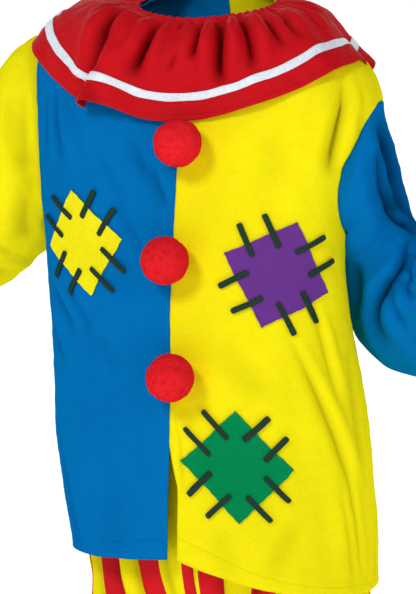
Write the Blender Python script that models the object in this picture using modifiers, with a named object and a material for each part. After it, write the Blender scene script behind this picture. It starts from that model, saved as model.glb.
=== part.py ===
"""A child's two-piece clown costume in the shape it has when worn, with nobody in it.

The top is a tunic of four body panels and two sleeves, with a gathered collar, three pompoms and
three felt patches held by felt bars. Under it are wide trousers of two legs and an elastic waist.
Metres, +Z up. The front faces -Y, so the wearer's left is +X. The origin is at the base of the neck.
"""

import math
from collections import namedtuple

import bmesh
import bpy
from mathutils import Vector

# ---- Driving sizes ---------------------------------------------------------------------------

CLOTH = 0.0015
FELT = 0.0012
RIBBON_THICK = 0.0008
SEAM_GAP = 0.0003
LAYER_GAP = 0.0004

COLLAR_CLEARANCE = 0.0045
COLLAR_PUFF, PUFF_SPREAD = 0.007, 1.25
NECK_CLOSENESS, NECK_SPREAD = 0.25, 2
COLLAR_SHARES = (0.0, 0.14, 0.30, 0.46, 0.61, 0.735, 0.815, 0.91, 1.0)
RIBBON_SHARES = (0.735, 0.815)
POMPOM_RADIUS = 0.026
BALL_SIDES, BALL_RINGS = 14, 9
BAR_LENGTH, BAR_WIDTH = 0.037, 0.0052
BAR_OUTWARD = 0.003
BARS_AT = (0.33, 0.67)
WAISTBAND_HEIGHT = 0.028
ELASTIC_THICK = 0.0025

FRONT, BACK = -math.pi / 2, math.pi / 2
LEFT, RIGHT = 0.0, math.pi

RED, WHITE = (0.60, 0.012, 0.018), (0.80, 0.82, 0.84)
YELLOW, BLUE = (0.88, 0.76, 0.008), (0.003, 0.155, 0.50)
PURPLE, GREEN, DARK = (0.13, 0.045, 0.24), (0.004, 0.21, 0.10), (0.014, 0.022, 0.020)
WOVEN, SOFT, SATIN, FELTED, PILE = 0.75, 0.65, 0.35, 0.90, 0.95

# ---- The shape of the tunic ------------------------------------------------------------------

# One row for each level ring, from the hem up to the neckline. middle is the x of the centre front
# line, and right, left, front and back are the ring's reach from there. square is 2 for an ellipse
# and more for a boxier ring. roll lowers the wearer's left, and pitch lowers the front.
Ring = namedtuple("Ring", "height middle right left front back square roll pitch")
TUNIC_RINGS = [
    Ring(-0.584, 0.004, 0.151, 0.186, 0.138, 0.127, 2.2, 0.105, 0.00),
    Ring(-0.564, 0.004, 0.153, 0.185, 0.137, 0.126, 2.2, 0.105, 0.00),
    Ring(-0.512, 0.004, 0.164, 0.185, 0.134, 0.121, 2.2, 0.105, 0.00),
    Ring(-0.457, 0.004, 0.173, 0.180, 0.130, 0.115, 2.2, 0.105, 0.00),
    Ring(-0.402, 0.003, 0.176, 0.175, 0.125, 0.109, 2.2, 0.105, 0.00),
    Ring(-0.347, 0.002, 0.177, 0.171, 0.120, 0.103, 2.2, 0.105, 0.00),
    Ring(-0.297, 0.000, 0.178, 0.169, 0.115, 0.099, 2.3, 0.105, 0.00),
    Ring(-0.242, 0.000, 0.183, 0.166, 0.108, 0.095, 2.4, 0.105, 0.00),
    Ring(-0.205, 0.000, 0.187, 0.166, 0.103, 0.093, 2.5, 0.105, 0.00),
    Ring(-0.160, 0.000, 0.191, 0.170, 0.097, 0.091, 2.6, 0.110, 0.00),
    Ring(-0.120, 0.000, 0.194, 0.180, 0.091, 0.090, 2.6, 0.115, 0.02),
    Ring(-0.085, 0.000, 0.196, 0.192, 0.086, 0.088, 2.5, 0.125, 0.04),
    Ring(-0.056, 0.000, 0.195, 0.195, 0.082, 0.085, 2.4, 0.130, 0.07),
    Ring(-0.030, 0.000, 0.184, 0.186, 0.078, 0.082, 2.3, 0.130, 0.11),
    Ring(-0.010, 0.000, 0.163, 0.166, 0.075, 0.079, 2.2, 0.120, 0.15),
    Ring(0.004, 0.000, 0.135, 0.137, 0.071, 0.075, 2.1, 0.100, 0.19),
    Ring(0.014, 0.000, 0.104, 0.108, 0.067, 0.071, 2.0, 0.070, 0.23),
    Ring(0.021, 0.000, 0.083, 0.083, 0.065, 0.068, 2.0, 0.040, 0.25),
    Ring(0.024, 0.000, 0.075, 0.074, 0.064, 0.066, 2.0, 0.030, 0.25),
]
HEM, NECKLINE = 0, len(TUNIC_RINGS) - 1

# Soft hollows (out below 0) and swells. angle and wide are in degrees round the ring, with the
# wearer's left at 0 and the front at -90; lean is how many degrees a fold swings for each metre up.
Fold = namedtuple("Fold", "angle height wide tall out lean")
TUNIC_FOLDS = [
    Fold(36, -0.240, 31, 0.088, -0.039, 0),
    Fold(-38, -0.470, 9, 0.120, -0.005, -90),
    Fold(-60, -0.560, 12, 0.090, 0.004, 0),
    Fold(-128, -0.300, 11, 0.150, -0.003, 20),
    Fold(62, -0.500, 13, 0.140, -0.006, 25),
    Fold(122, -0.480, 13, 0.160, -0.006, -20),
    Fold(90, -0.120, 14, 0.080, -0.004, 0),
]

# The hem rises to a round corner at the centre front: how far, over what width, and how sharply.
Corner = namedtuple("Corner", "rise width sharp")
HEM_CORNERS = {LEFT: Corner(0.028, 0.190, 1.8), RIGHT: Corner(0.024, 0.160, 1.2)}
VENT_TOP, VENT_TALL, VENT_WIDTH = -0.480, 0.060, 0.010

# The armholes, by the heights of the rings at top and bottom, and half the width in degrees. droop
# is 1 where the sleeve's cap hangs straight down and 0 where it runs straight out.
Armhole = namedtuple("Armhole", "top bottom half_angle droop")
ARMHOLE_ROUNDNESS = 0.75
ARMHOLES = {LEFT: Armhole(-0.054, -0.205, 27, 1.0), RIGHT: Armhole(-0.030, -0.235, 28, 0.25)}

# ---- The sleeves -----------------------------------------------------------------------------

# Sections below the armhole, down to the cuff. across is half the sleeve's width in the plane in
# which the arm bends, and deep is half its front-to-back width.
Section = namedtuple("Section", "x y z across deep")
LEFT_SLEEVE = [
    Section(0.184, 0.055, -0.238, 0.044, 0.058),
    Section(0.199, 0.061, -0.269, 0.062, 0.062),
    Section(0.220, 0.062, -0.293, 0.079, 0.066),
    Section(0.256, 0.055, -0.302, 0.080, 0.066),
    Section(0.296, 0.036, -0.300, 0.071, 0.063),
    Section(0.339, 0.010, -0.290, 0.061, 0.058),
    Section(0.378, -0.016, -0.278, 0.054, 0.053),
    Section(0.408, -0.036, -0.269, 0.050, 0.050),
]
RIGHT_SLEEVE = [
    Section(-0.237, 0.010, -0.165, 0.090, 0.064),
    Section(-0.273, 0.017, -0.190, 0.089, 0.065),
    Section(-0.307, 0.022, -0.222, 0.082, 0.066),
    Section(-0.347, 0.016, -0.247, 0.073, 0.065),
    Section(-0.390, 0.000, -0.261, 0.064, 0.061),
    Section(-0.431, -0.022, -0.263, 0.057, 0.056),
    Section(-0.467, -0.042, -0.258, 0.052, 0.052),
    Section(-0.490, -0.055, -0.253, 0.050, 0.050),
]

# ---- The collar ------------------------------------------------------------------------------

# How far the collar reaches from the neck down to its hem, at places round the neck in degrees.
Reach = namedtuple("Reach", "angle length")
COLLAR_REACHES = [
    Reach(-180, 0.124),
    Reach(-134, 0.134),
    Reach(-119, 0.138),
    Reach(-104, 0.117),
    Reach(-88, 0.112),
    Reach(-45, 0.116),
    Reach(0, 0.116),
    Reach(45, 0.121),
    Reach(90, 0.122),
    Reach(135, 0.124),
    Reach(180, 0.124),
]

# A ripple of the collar: its place round the neck in degrees, its half width there, how far it
# stands out at the hem, how far it swings sideways, and where between neck and hem it begins.
Ripple = namedtuple("Ripple", "angle wide out swing start")
RIPPLE_GROWTH = 1.2
COLLAR_RIPPLES = [
    Ripple(-110, 7, 0.018, -5.0, 0.25),
    Ripple(-158, 10, 0.006, 0.0, 0.30),
    Ripple(-97, 9, 0.005, 0.0, 0.25),
    Ripple(-66, 8, 0.006, 0.0, 0.20),
    Ripple(-38, 10, 0.006, 0.0, 0.30),
    Ripple(-8, 9, 0.002, 0.0, 0.30),
    Ripple(22, 9, 0.007, 0.0, 0.30),
    Ripple(52, 9, 0.010, 2.0, 0.25),
    Ripple(84, 10, 0.012, 0.0, 0.25),
    Ripple(116, 9, 0.010, -2.0, 0.30),
    Ripple(146, 9, 0.013, 0.0, 0.25),
    Ripple(176, 9, 0.008, 0.0, 0.30),
]

# ---- What is sewn on the front ---------------------------------------------------------------

# Pompoms sit beside the centre front seam: their height, and how far to the wearer's left.
Pompom = namedtuple("Pompom", "name height across")
POMPOMS = [
    Pompom("pompom_top", -0.124, 0.009),
    Pompom("pompom_middle", -0.248, 0.001),
    Pompom("pompom_bottom", -0.367, 0.009),
]

# Patches: where the middle lies on the tunic, the square's side, and how far it is turned.
Patch = namedtuple("Patch", "name colour height angle side turned")
PATCHES = [
    Patch("patch_yellow", YELLOW, -0.242, -125.3, 0.079, 56),
    Patch("patch_purple", PURPLE, -0.2475, -51, 0.084, 29),
    Patch("patch_green", GREEN, -0.452, -66.5, 0.083, 46),
]

# ---- The trousers ----------------------------------------------------------------------------

# Rings round both legs, from the waist down to the crotch, and rings round one leg below it. The
# numbers are reaches from the middle of the trousers, and middle is that middle's own x.
HipRing = namedtuple("HipRing", "height middle right left front back")
HIP_RINGS = [
    HipRing(-0.300, 0.000, 0.118, 0.120, 0.085, 0.078),
    HipRing(-0.345, 0.004, 0.132, 0.134, 0.096, 0.086),
    HipRing(-0.400, 0.010, 0.144, 0.144, 0.104, 0.092),
    HipRing(-0.470, 0.018, 0.149, 0.150, 0.109, 0.098),
    HipRing(-0.540, 0.022, 0.155, 0.155, 0.112, 0.102),
    HipRing(-0.610, 0.026, 0.157, 0.155, 0.113, 0.103),
    HipRing(-0.665, 0.028, 0.156, 0.155, 0.112, 0.102),
]
LegRing = namedtuple("LegRing", "height middle across deep")
LEFT_LEG = [
    LegRing(-0.665, 0.106, 0.0765, 0.100),
    LegRing(-0.720, 0.112, 0.0760, 0.097),
    LegRing(-0.790, 0.121, 0.0780, 0.093),
    LegRing(-0.860, 0.130, 0.0785, 0.090),
    LegRing(-0.930, 0.138, 0.0780, 0.087),
    LegRing(-0.985, 0.144, 0.0760, 0.085),
]
RIGHT_LEG = [
    LegRing(-0.665, -0.050, 0.0765, 0.100),
    LegRing(-0.720, -0.054, 0.0760, 0.097),
    LegRing(-0.790, -0.066, 0.0780, 0.093),
    LegRing(-0.860, -0.078, 0.0785, 0.090),
    LegRing(-0.930, -0.089, 0.0780, 0.087),
    LegRing(-0.985, -0.097, 0.0760, 0.085),
]
CROTCH_RISE = 0.110
INSEAM_GAP = 0.0010


# ---- Reading the tables ----------------------------------------------------------------------


def spline(values, at):
    """The value at a fractional row, on a smooth curve through every row."""
    low = min(int(at), len(values) - 2)
    t = at - low
    before, here = values[max(low - 1, 0)], values[low]
    there, after = values[low + 1], values[min(low + 2, len(values) - 1)]
    bend = 2 * before - 5 * here + 4 * there - after
    twist = 3 * here - before - 3 * there + after
    return here + 0.5 * t * (there - before + t * (bend + t * twist))


def row_at(table, at):
    """A whole row of a table, read at a fractional row number."""
    return type(table[0])(*(spline(column, at) for column in zip(*table)))


def row_of_height(table, height):
    """The fractional row number at which the table reaches a height."""
    low, high = 0.0, len(table) - 1.0
    rising = table[-1].height > table[0].height
    for _ in range(40):
        middle = (low + high) / 2
        if (row_at(table, middle).height < height) == rising:
            low = middle
        else:
            high = middle
    return low


def bump(distance):
    """1 at 0, falling smoothly to almost nothing at 2."""
    return math.exp(-distance * distance)


# ---- Points on the tunic ---------------------------------------------------------------------


def ring_shape(angle, square):
    """A point of a superellipse of radius 1."""
    cosine, sine = math.cos(angle), math.sin(angle)
    reach = (abs(cosine) ** square + abs(sine) ** square) ** (-1 / square)
    return cosine * reach, sine * reach


def turn_between(angle, other):
    """The signed difference of two angles in degrees, from -180 to 180."""
    return (angle - other + 180) % 360 - 180


def fold_depth(folds, angle, height):
    """How far the folds push the cloth out at a place, in metres."""
    depth = 0.0
    for fold in folds:
        rise = height - fold.height
        turn = turn_between(math.degrees(angle), fold.angle + fold.lean * rise)
        depth += fold.out * bump(turn / fold.wide) * bump(rise / fold.tall)
    return depth


def tunic_base(at, angle):
    """A point on the inner face of the tunic's cloth: at is a row number, angle goes round it."""
    ring = row_at(TUNIC_RINGS, at)
    across, deep = ring_shape(angle, ring.square)
    depth = fold_depth(TUNIC_FOLDS, angle, ring.height)
    x = across * (ring.left if across > 0 else ring.right)
    y = deep * (ring.back if deep > 0 else ring.front)
    x += ring.middle + depth * math.cos(angle)
    y += depth * math.sin(angle)
    return Vector((x, y, ring.height - ring.roll * x + ring.pitch * y))


def tunic_normal(at, angle):
    """The outward direction of the tunic's cloth."""
    step_row, step_angle = 0.02, 0.004
    high, low = min(at + step_row, NECKLINE), max(at - step_row, HEM)
    up = tunic_base(high, angle) - tunic_base(low, angle)
    round_it = tunic_base(at, angle + step_angle) - tunic_base(at, angle - step_angle)
    return round_it.cross(up).normalized()


def turn_length(at, angle):
    """The length round the tunic of a turn of one radian, at a place."""
    step = 0.01
    return (tunic_base(at, angle + step) - tunic_base(at, angle - step)).length / (2 * step)


def tunic_point(at, angle, out=0.0):
    """A point of the tunic, moved out along the cloth's own direction."""
    return tunic_base(at, angle) + tunic_normal(at, angle) * out


def walk(at, angle, across, up):
    """The place reached from another by walking up the tunic, and then across it, in metres."""
    steps, step_row = 6, 0.05
    for _ in range(steps):
        rise = tunic_base(at + step_row, angle) - tunic_base(at - step_row, angle)
        at += up / steps / (rise.length / (2 * step_row))
    for _ in range(steps):
        angle += across / steps / turn_length(at, angle)
    return at, angle


# ---- Making meshes ---------------------------------------------------------------------------

costume = bpy.data.collections.new("clown_costume")


def material(name, colour, roughness):
    made = bpy.data.materials.get(name)
    if made is None:
        made = bpy.data.materials.new(name)
        made.use_nodes = True
        shader = made.node_tree.nodes["Principled BSDF"]
        shader.inputs["Base Color"].default_value = (*colour, 1)
        shader.inputs["Roughness"].default_value = roughness
        shader.inputs["Metallic"].default_value = 0
    return made


def add_object(name, mesh, finish):
    made = bpy.data.objects.new(name, mesh)
    made.data.materials.append(finish)
    costume.objects.link(made)
    return made


def sheet(name, rows, finish, thick=CLOTH, outwards=1):
    """A cloth wall on a grid of points. Points that meet are joined, so a tube closes on itself."""
    mesh = bpy.data.meshes.new(name)
    made = bmesh.new()
    grid = [[made.verts.new(point) for point in row] for row in rows]
    for lower, upper in zip(grid, grid[1:]):
        for left, right, right_up, left_up in zip(lower, lower[1:], upper[1:], upper):
            made.faces.new((left, right, right_up, left_up))
    bmesh.ops.remove_doubles(made, verts=made.verts, dist=1e-6)
    made.to_mesh(mesh)
    made.free()
    mesh.shade_smooth()
    piece = add_object(name, mesh, finish)
    wall = piece.modifiers.new("cloth", "SOLIDIFY")
    wall.thickness = thick
    wall.offset = outwards
    return piece


def sphere(name, centre, radius, finish):
    mesh = bpy.data.meshes.new(name)
    made = bmesh.new()
    bmesh.ops.create_uvsphere(made, u_segments=BALL_SIDES, v_segments=BALL_RINGS, radius=radius)
    made.to_mesh(mesh)
    made.free()
    mesh.shade_smooth()
    piece = add_object(name, mesh, finish)
    piece.location = centre
    return piece


# ---- The tunic's body ------------------------------------------------------------------------

ARMHOLE_ROWS = 9
SKIRT_ROWS = 8
YOKE_ROWS = 5
PANEL_COLUMNS = (0.0, 0.07, 0.20, 0.36, 0.52, 0.68, 0.84, 1.0)


def armhole_place(side, turn):
    """Row number and angle from the side, at a turn round the armhole: 0 front, 90 degrees top."""
    hole = ARMHOLES[side]
    height = (hole.top + hole.bottom) / 2 + (hole.top - hole.bottom) / 2 * math.sin(turn)
    cut = math.radians(hole.half_angle) * abs(math.cos(turn)) ** ARMHOLE_ROUNDNESS
    return row_of_height(TUNIC_RINGS, height), math.copysign(cut, math.cos(turn))


def panel_rows(side):
    """(row number, how far the armhole cuts in from the side) for each level of a body panel."""
    top = row_of_height(TUNIC_RINGS, ARMHOLES[side].top)
    bottom = row_of_height(TUNIC_RINGS, ARMHOLES[side].bottom)
    rows = [(bottom * step / SKIRT_ROWS, 0.0) for step in range(SKIRT_ROWS)]
    for step in range(ARMHOLE_ROWS + 1):
        at, cut = armhole_place(side, math.pi * step / ARMHOLE_ROWS - math.pi / 2)
        rows.append((at, abs(cut)))
    yoke = NECKLINE - top
    rows += [(top + yoke * step / YOKE_ROWS, 0.0) for step in range(1, YOKE_ROWS + 1)]
    return rows


def hem_rise(centre, side, angle):
    """How many rows the hem rises at an angle, towards its round corner at the centre front."""
    if centre == BACK:
        return 0.0
    corner, hem = HEM_CORNERS[side], TUNIC_RINGS[HEM]
    near = abs(tunic_base(HEM, angle).x - hem.middle) / corner.width
    rise = corner.rise * max(0.0, 1 - near) ** corner.sharp
    return row_of_height(TUNIC_RINGS, hem.height + rise)


def vent_swing(centre, side, height):
    """How far the left front's centre edge swings away from the right front's at a height."""
    if (centre, side) != (FRONT, LEFT):
        return 0.0
    share = min(1.0, max(0.0, (VENT_TOP - height) / VENT_TALL))
    return VENT_WIDTH * share * share * (3 - 2 * share)


def body_panel(name, centre, side, finish):
    """A quarter of the tunic, from its centre seam round to its side seam."""
    towards = 1 if turn_between(math.degrees(side), math.degrees(centre)) > 0 else -1
    bottom = row_of_height(TUNIC_RINGS, ARMHOLES[side].bottom)
    rows = []
    for at, cut in panel_rows(side):
        row = []
        first = vent_swing(centre, side, row_at(TUNIC_RINGS, at).height) / turn_length(at, centre)
        last = math.pi / 2 - cut
        for share in PANEL_COLUMNS:
            angle = centre + towards * (first + share * (last - first))
            trim = SEAM_GAP / 2 / turn_length(at, angle)
            if share == 0:
                angle += towards * trim
            elif share == 1:
                angle -= towards * trim
            rise = hem_rise(centre, side, angle) * max(0.0, 1 - at / bottom)
            row.append(tunic_base(at + rise, angle))
        rows.append(row if towards > 0 else row[::-1])
    return sheet(name, rows, finish)


# ---- The sleeves -----------------------------------------------------------------------------

SLEEVE_SIDES = 2 * ARMHOLE_ROWS
CAP_ROWS = 4
CAP_EASE, CAP_LEAST = 0.30, 0.010


def bezier(start, control, other, end, t):
    s = 1 - t
    return s**3 * start + 3 * s * s * t * control + 3 * s * t * t * other + t**3 * end


def sleeve_ring(sections, at, side, turn):
    """A point round a sleeve's section, and the direction in which the sleeve runs there."""
    here = row_at(sections, at)
    low, high = max(at - 0.05, 0), min(at + 0.05, len(sections) - 1)
    before, after = row_at(sections, low), row_at(sections, high)
    along = Vector(after[:3]) - Vector(before[:3])
    along.normalize()
    forward = Vector((0, -1, 0))
    forward = (forward - along * forward.dot(along)).normalized()
    outer = forward.cross(along) * (1 if side == LEFT else -1)
    centre = Vector((here.x, here.y, here.z))
    point = centre + forward * here.deep * math.cos(turn) + outer * here.across * math.sin(turn)
    return point, along


def armhole_start(side, turn):
    """Where a sleeve's cloth starts, just inside the armhole's edge, and the way that it sets off."""
    at, cut = armhole_place(side, turn)
    angle = side - cut if side == LEFT else side + cut
    edge = tunic_base(at, angle)
    middle_at, _ = armhole_place(side, 0)
    middle = tunic_base(middle_at, side)
    droop = max(0.0, math.sin(turn)) ** 3 * ARMHOLES[side].droop
    inwards = (middle - edge).normalized()
    start = edge + inwards * (2 * SEAM_GAP + CLOTH * (1 - droop))
    sets_off = tunic_normal(at, angle) * (1 - droop) + inwards * droop
    return start, sets_off.normalized()


def sleeve(name, sections, side, finish):
    """A tube from the armhole to the cuff, with a rounded cap over the shoulder."""
    turns = [2 * math.pi * step / SLEEVE_SIDES - math.pi / 2 for step in range(SLEEVE_SIDES)]
    rows = []
    for step in range(CAP_ROWS):
        row = []
        for turn in turns:
            start, sets_off = armhole_start(side, turn)
            end, along = sleeve_ring(sections, 0, side, turn)
            reach = (end - start).length
            handle = start + sets_off * max(CAP_LEAST, CAP_EASE * reach)
            other = end - along * CAP_EASE * reach
            row.append(bezier(start, handle, other, end, step / CAP_ROWS))
        rows.append(row)
    for at in range(len(sections)):
        rows.append([sleeve_ring(sections, at, side, turn)[0] for turn in turns])
    closed = [row + row[:1] for row in rows]
    if side == RIGHT:
        closed = [row[::-1] for row in closed]
    return sheet(name, closed, finish)


# ---- The collar ------------------------------------------------------------------------------

COLLAR_SIDES = 52
MERIDIAN_STEPS = 60


def meridian(angle):
    """(length from the neckline, row number) down the tunic at one angle, for the collar to follow."""
    reached, places = 0.0, [(0.0, float(NECKLINE))]
    last = tunic_base(NECKLINE, angle)
    for step in range(1, MERIDIAN_STEPS + 1):
        at = NECKLINE * (1 - step / MERIDIAN_STEPS / 2)
        point = tunic_base(at, angle)
        reached += (point - last).length
        places.append((reached, at))
        last = point
    return places


def row_after(places, length):
    """The row number at a length down a meridian."""
    for (near, high), (far, low) in zip(places, places[1:]):
        if far >= length:
            return high + (low - high) * (length - near) / (far - near)
    return places[-1][1]


def collar_reach(angle):
    """The collar's length from neck to hem at an angle, eased between the rows of its table."""
    angle = turn_between(angle, 0)
    for here, there in zip(COLLAR_REACHES, COLLAR_REACHES[1:]):
        if angle <= there.angle:
            share = (angle - here.angle) / (there.angle - here.angle)
            return here.length + (there.length - here.length) * share * share * (3 - 2 * share)
    return COLLAR_REACHES[-1].length


def collar_point(angle, share):
    """A point of the collar's inner face; share is 0 at the neck and 1 at the hem."""
    rise, swing = 0.0, 0.0
    for ripple in COLLAR_RIPPLES:
        near = bump(turn_between(math.degrees(angle), ripple.angle) / ripple.wide)
        grown = max(0.0, share - ripple.start) / (1 - ripple.start)
        rise += ripple.out * near * grown**RIPPLE_GROWTH
        swing += ripple.swing * near * grown
    at = row_after(meridian(angle), share * collar_reach(math.degrees(angle)))
    puff = COLLAR_PUFF * math.sin(math.pi * min(1.0, share * PUFF_SPREAD)) ** 2
    clearance = COLLAR_CLEARANCE * min(1.0, NECK_CLOSENESS + NECK_SPREAD * share)
    lift = CLOTH + clearance + puff + rise
    return tunic_point(at, angle + math.radians(swing), lift)


def moved_out(rows, distance):
    """The points of a closed tube's grid, each moved out along the cloth's own direction."""
    moved = []
    for level, row in enumerate(rows):
        above, below = rows[max(level - 1, 0)], rows[min(level + 1, len(rows) - 1)]
        line = []
        for place, point in enumerate(row):
            round_it = row[(place + 1) % len(row)] - row[place - 1]
            line.append(point + round_it.cross(above[place] - below[place]).normalized() * distance)
        moved.append(line)
    return moved


def closed_sheet(name, rows, thick, finish):
    """A cloth tube from rows that run from its top to its bottom."""
    return sheet(name, [row + row[:1] for row in rows[::-1]], finish, thick)


def collar():
    """The ruffle, and the ribbon that lies on it near the hem."""
    angles = [2 * math.pi * step / COLLAR_SIDES for step in range(COLLAR_SIDES)]
    rows = [[collar_point(angle, share) for angle in angles] for share in COLLAR_SHARES]
    closed_sheet("collar_ruffle", rows, CLOTH, material("cloth_red", RED, SOFT))
    over = moved_out(rows, CLOTH + LAYER_GAP)
    ribbon = [over[COLLAR_SHARES.index(share)] for share in RIBBON_SHARES]
    closed_sheet("collar_ribbon", ribbon, RIBBON_THICK, material("ribbon_white", WHITE, SATIN))


# ---- Pompoms, patches and bars ---------------------------------------------------------------

PATCH_CELLS = 6
BAR_CELLS = 3


def pompom(row):
    at = row_of_height(TUNIC_RINGS, row.height)
    at, angle = walk(at, FRONT, row.across, 0)
    centre = tunic_point(at, angle, CLOTH + LAYER_GAP + POMPOM_RADIUS)
    return sphere(row.name, centre, POMPOM_RADIUS, material("pompom_red", RED, PILE))


def patch_place(row, across, up):
    """A place on the tunic, in the turned square's own directions, from its middle."""
    turned = math.radians(row.turned)
    at = row_of_height(TUNIC_RINGS, row.height)
    right = across * math.cos(turned) - up * math.sin(turned)
    higher = across * math.sin(turned) + up * math.cos(turned)
    return walk(at, math.radians(row.angle), right, higher)


def felt_piece(name, row, corner, size, cells, out, finish):
    """A flat rectangle of felt laid on the tunic. corner and size are in the patch's directions."""
    rows = []
    for step_up in range(cells[1] + 1):
        up = corner[1] + size[1] * step_up / cells[1]
        places = []
        for step_across in range(cells[0] + 1):
            across = corner[0] + size[0] * step_across / cells[0]
            places.append(tunic_point(*patch_place(row, across, up), out))
        rows.append(places)
    return sheet(name, rows, finish, FELT)


def patch(row):
    half = row.side / 2
    corner, size = (-half, -half), (row.side, row.side)
    lift = CLOTH + LAYER_GAP
    cells = (PATCH_CELLS, PATCH_CELLS)
    finish = material(row.name, row.colour, FELTED)
    felt_piece(row.name, row, corner, size, cells, lift, finish)
    bar_finish = material("felt_dark", DARK, FELTED)
    bar_lift = lift + FELT + LAYER_GAP
    number = 0
    for upright in (False, True):
        for edge in (-half, half):
            for share in BARS_AT:
                number += 1
                beside = -half + share * row.side - BAR_WIDTH / 2
                beyond = edge + math.copysign(BAR_OUTWARD, edge) - BAR_LENGTH / 2
                corner = (beside, beyond) if upright else (beyond, beside)
                size = (BAR_WIDTH, BAR_LENGTH) if upright else (BAR_LENGTH, BAR_WIDTH)
                cells = (1, BAR_CELLS) if upright else (BAR_CELLS, 1)
                name = f"{row.name}_bar_{number}"
                felt_piece(name, row, corner, size, cells, bar_lift, bar_finish)


# ---- The trousers ----------------------------------------------------------------------------

LEG_COLUMNS = 14
HIP_ROWS = 3
RISE_ROWS = 5
LEG_ROWS = 4
WAIST_SIDES = 28


def hip_point(at, turn, side):
    """A point round the hips. turn goes from the centre front, by the outside, to the back."""
    ring = row_at(HIP_RINGS, at)
    reach = ring.left if side == LEFT else ring.right
    sign = 1 if side == LEFT else -1
    across, deep = math.sin(turn), math.cos(turn)
    y = -deep * (ring.front if deep > 0 else ring.back)
    return Vector((ring.middle + sign * (reach * across + SEAM_GAP / 2), y, ring.height))


def leg_point(table, at, turn, side):
    """A point round one leg. turn goes from the inseam, by the front and the outside, and back."""
    ring = row_at(table, at)
    sign = 1 if side == LEFT else -1
    x = ring.middle - sign * ring.across * math.cos(turn)
    return Vector((x, -ring.deep * math.sin(turn), ring.height))


def trouser_leg(name, table, side, finish):
    """One piece of cloth: half of the hips above the crotch, and a closed leg below it."""
    turns = [math.pi * step / LEG_COLUMNS for step in range(LEG_COLUMNS + 1)]
    crotch = HIP_RINGS[-1].height
    rise_top = row_of_height(HIP_RINGS, crotch + CROTCH_RISE)
    levels = [rise_top * step / HIP_ROWS for step in range(HIP_ROWS)]
    rows = [[hip_point(level, turn, side) for turn in turns] for level in levels]
    last = len(HIP_RINGS) - 1
    for step in range(RISE_ROWS):
        share = math.sin(math.pi / 2 * step / RISE_ROWS)
        closing = 1 - math.sqrt(1 - share * share)
        at = rise_top + (last - rise_top) * share
        height = row_at(HIP_RINGS, at).height
        row = []
        for turn in turns:
            outside = math.sin(turn)
            blend = closing + (share * share * (3 - 2 * share) - closing) * outside
            open_point = hip_point(at, turn, side)
            closed_point = leg_point(table, 0, 2 * turn, side)
            point = open_point.lerp(closed_point, blend)
            point.x += closing * (1 - outside) * INSEAM_GAP * (1 if side == LEFT else -1)
            point.z = height
            row.append(point)
        rows.append(row)
    bottom = len(table) - 1
    for step in range(LEG_ROWS + 1):
        row = [leg_point(table, bottom * step / LEG_ROWS, 2 * turn, side) for turn in turns]
        row[-1] = row[0].copy()
        rows.append(row)
    if side == LEFT:
        rows = [row[::-1] for row in rows]
    return sheet(name, rows, finish, outwards=-1)


def waistband(finish):
    """The elastic casing round the top of both legs."""
    ring = HIP_RINGS[0]
    rows = []
    for height in (ring.height + SEAM_GAP * 2, ring.height + WAISTBAND_HEIGHT):
        row = []
        for step in range(WAIST_SIDES):
            turn = 2 * math.pi * step / WAIST_SIDES
            x = ring.middle + (ring.left + ring.right) / 2 * math.cos(turn)
            y = math.sin(turn) * (ring.back if math.sin(turn) > 0 else ring.front)
            row.append(Vector((x, y, height)))
        rows.append(row + row[:1])
    return sheet("trousers_waistband", rows, finish, ELASTIC_THICK, outwards=-1)


# ---- The whole costume -----------------------------------------------------------------------


def clear_scene():
    for leftover in list(bpy.data.objects):
        bpy.data.objects.remove(leftover)


def build_costume():
    yellow = material("cloth_yellow", YELLOW, WOVEN)
    blue = material("cloth_blue", BLUE, WOVEN)
    body_panel("tunic_front_left", FRONT, LEFT, yellow)
    body_panel("tunic_front_right", FRONT, RIGHT, blue)
    body_panel("tunic_back_left", BACK, LEFT, yellow)
    body_panel("tunic_back_right", BACK, RIGHT, blue)
    sleeve("sleeve_left", LEFT_SLEEVE, LEFT, blue)
    sleeve("sleeve_right", RIGHT_SLEEVE, RIGHT, yellow)
    collar()
    for row in POMPOMS:
        pompom(row)
    for row in PATCHES:
        patch(row)
    striped = material("cloth_striped", YELLOW, WOVEN)
    trouser_leg("trousers_left", LEFT_LEG, LEFT, striped)
    trouser_leg("trousers_right", RIGHT_LEG, RIGHT, striped)
    waistband(striped)


clear_scene()
bpy.context.scene.collection.children.link(costume)
build_costume()
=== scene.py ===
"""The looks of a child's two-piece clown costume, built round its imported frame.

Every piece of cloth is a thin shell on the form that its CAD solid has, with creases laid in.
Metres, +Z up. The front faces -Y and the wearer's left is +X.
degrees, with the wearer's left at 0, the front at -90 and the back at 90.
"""

import math
from collections import namedtuple

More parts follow.
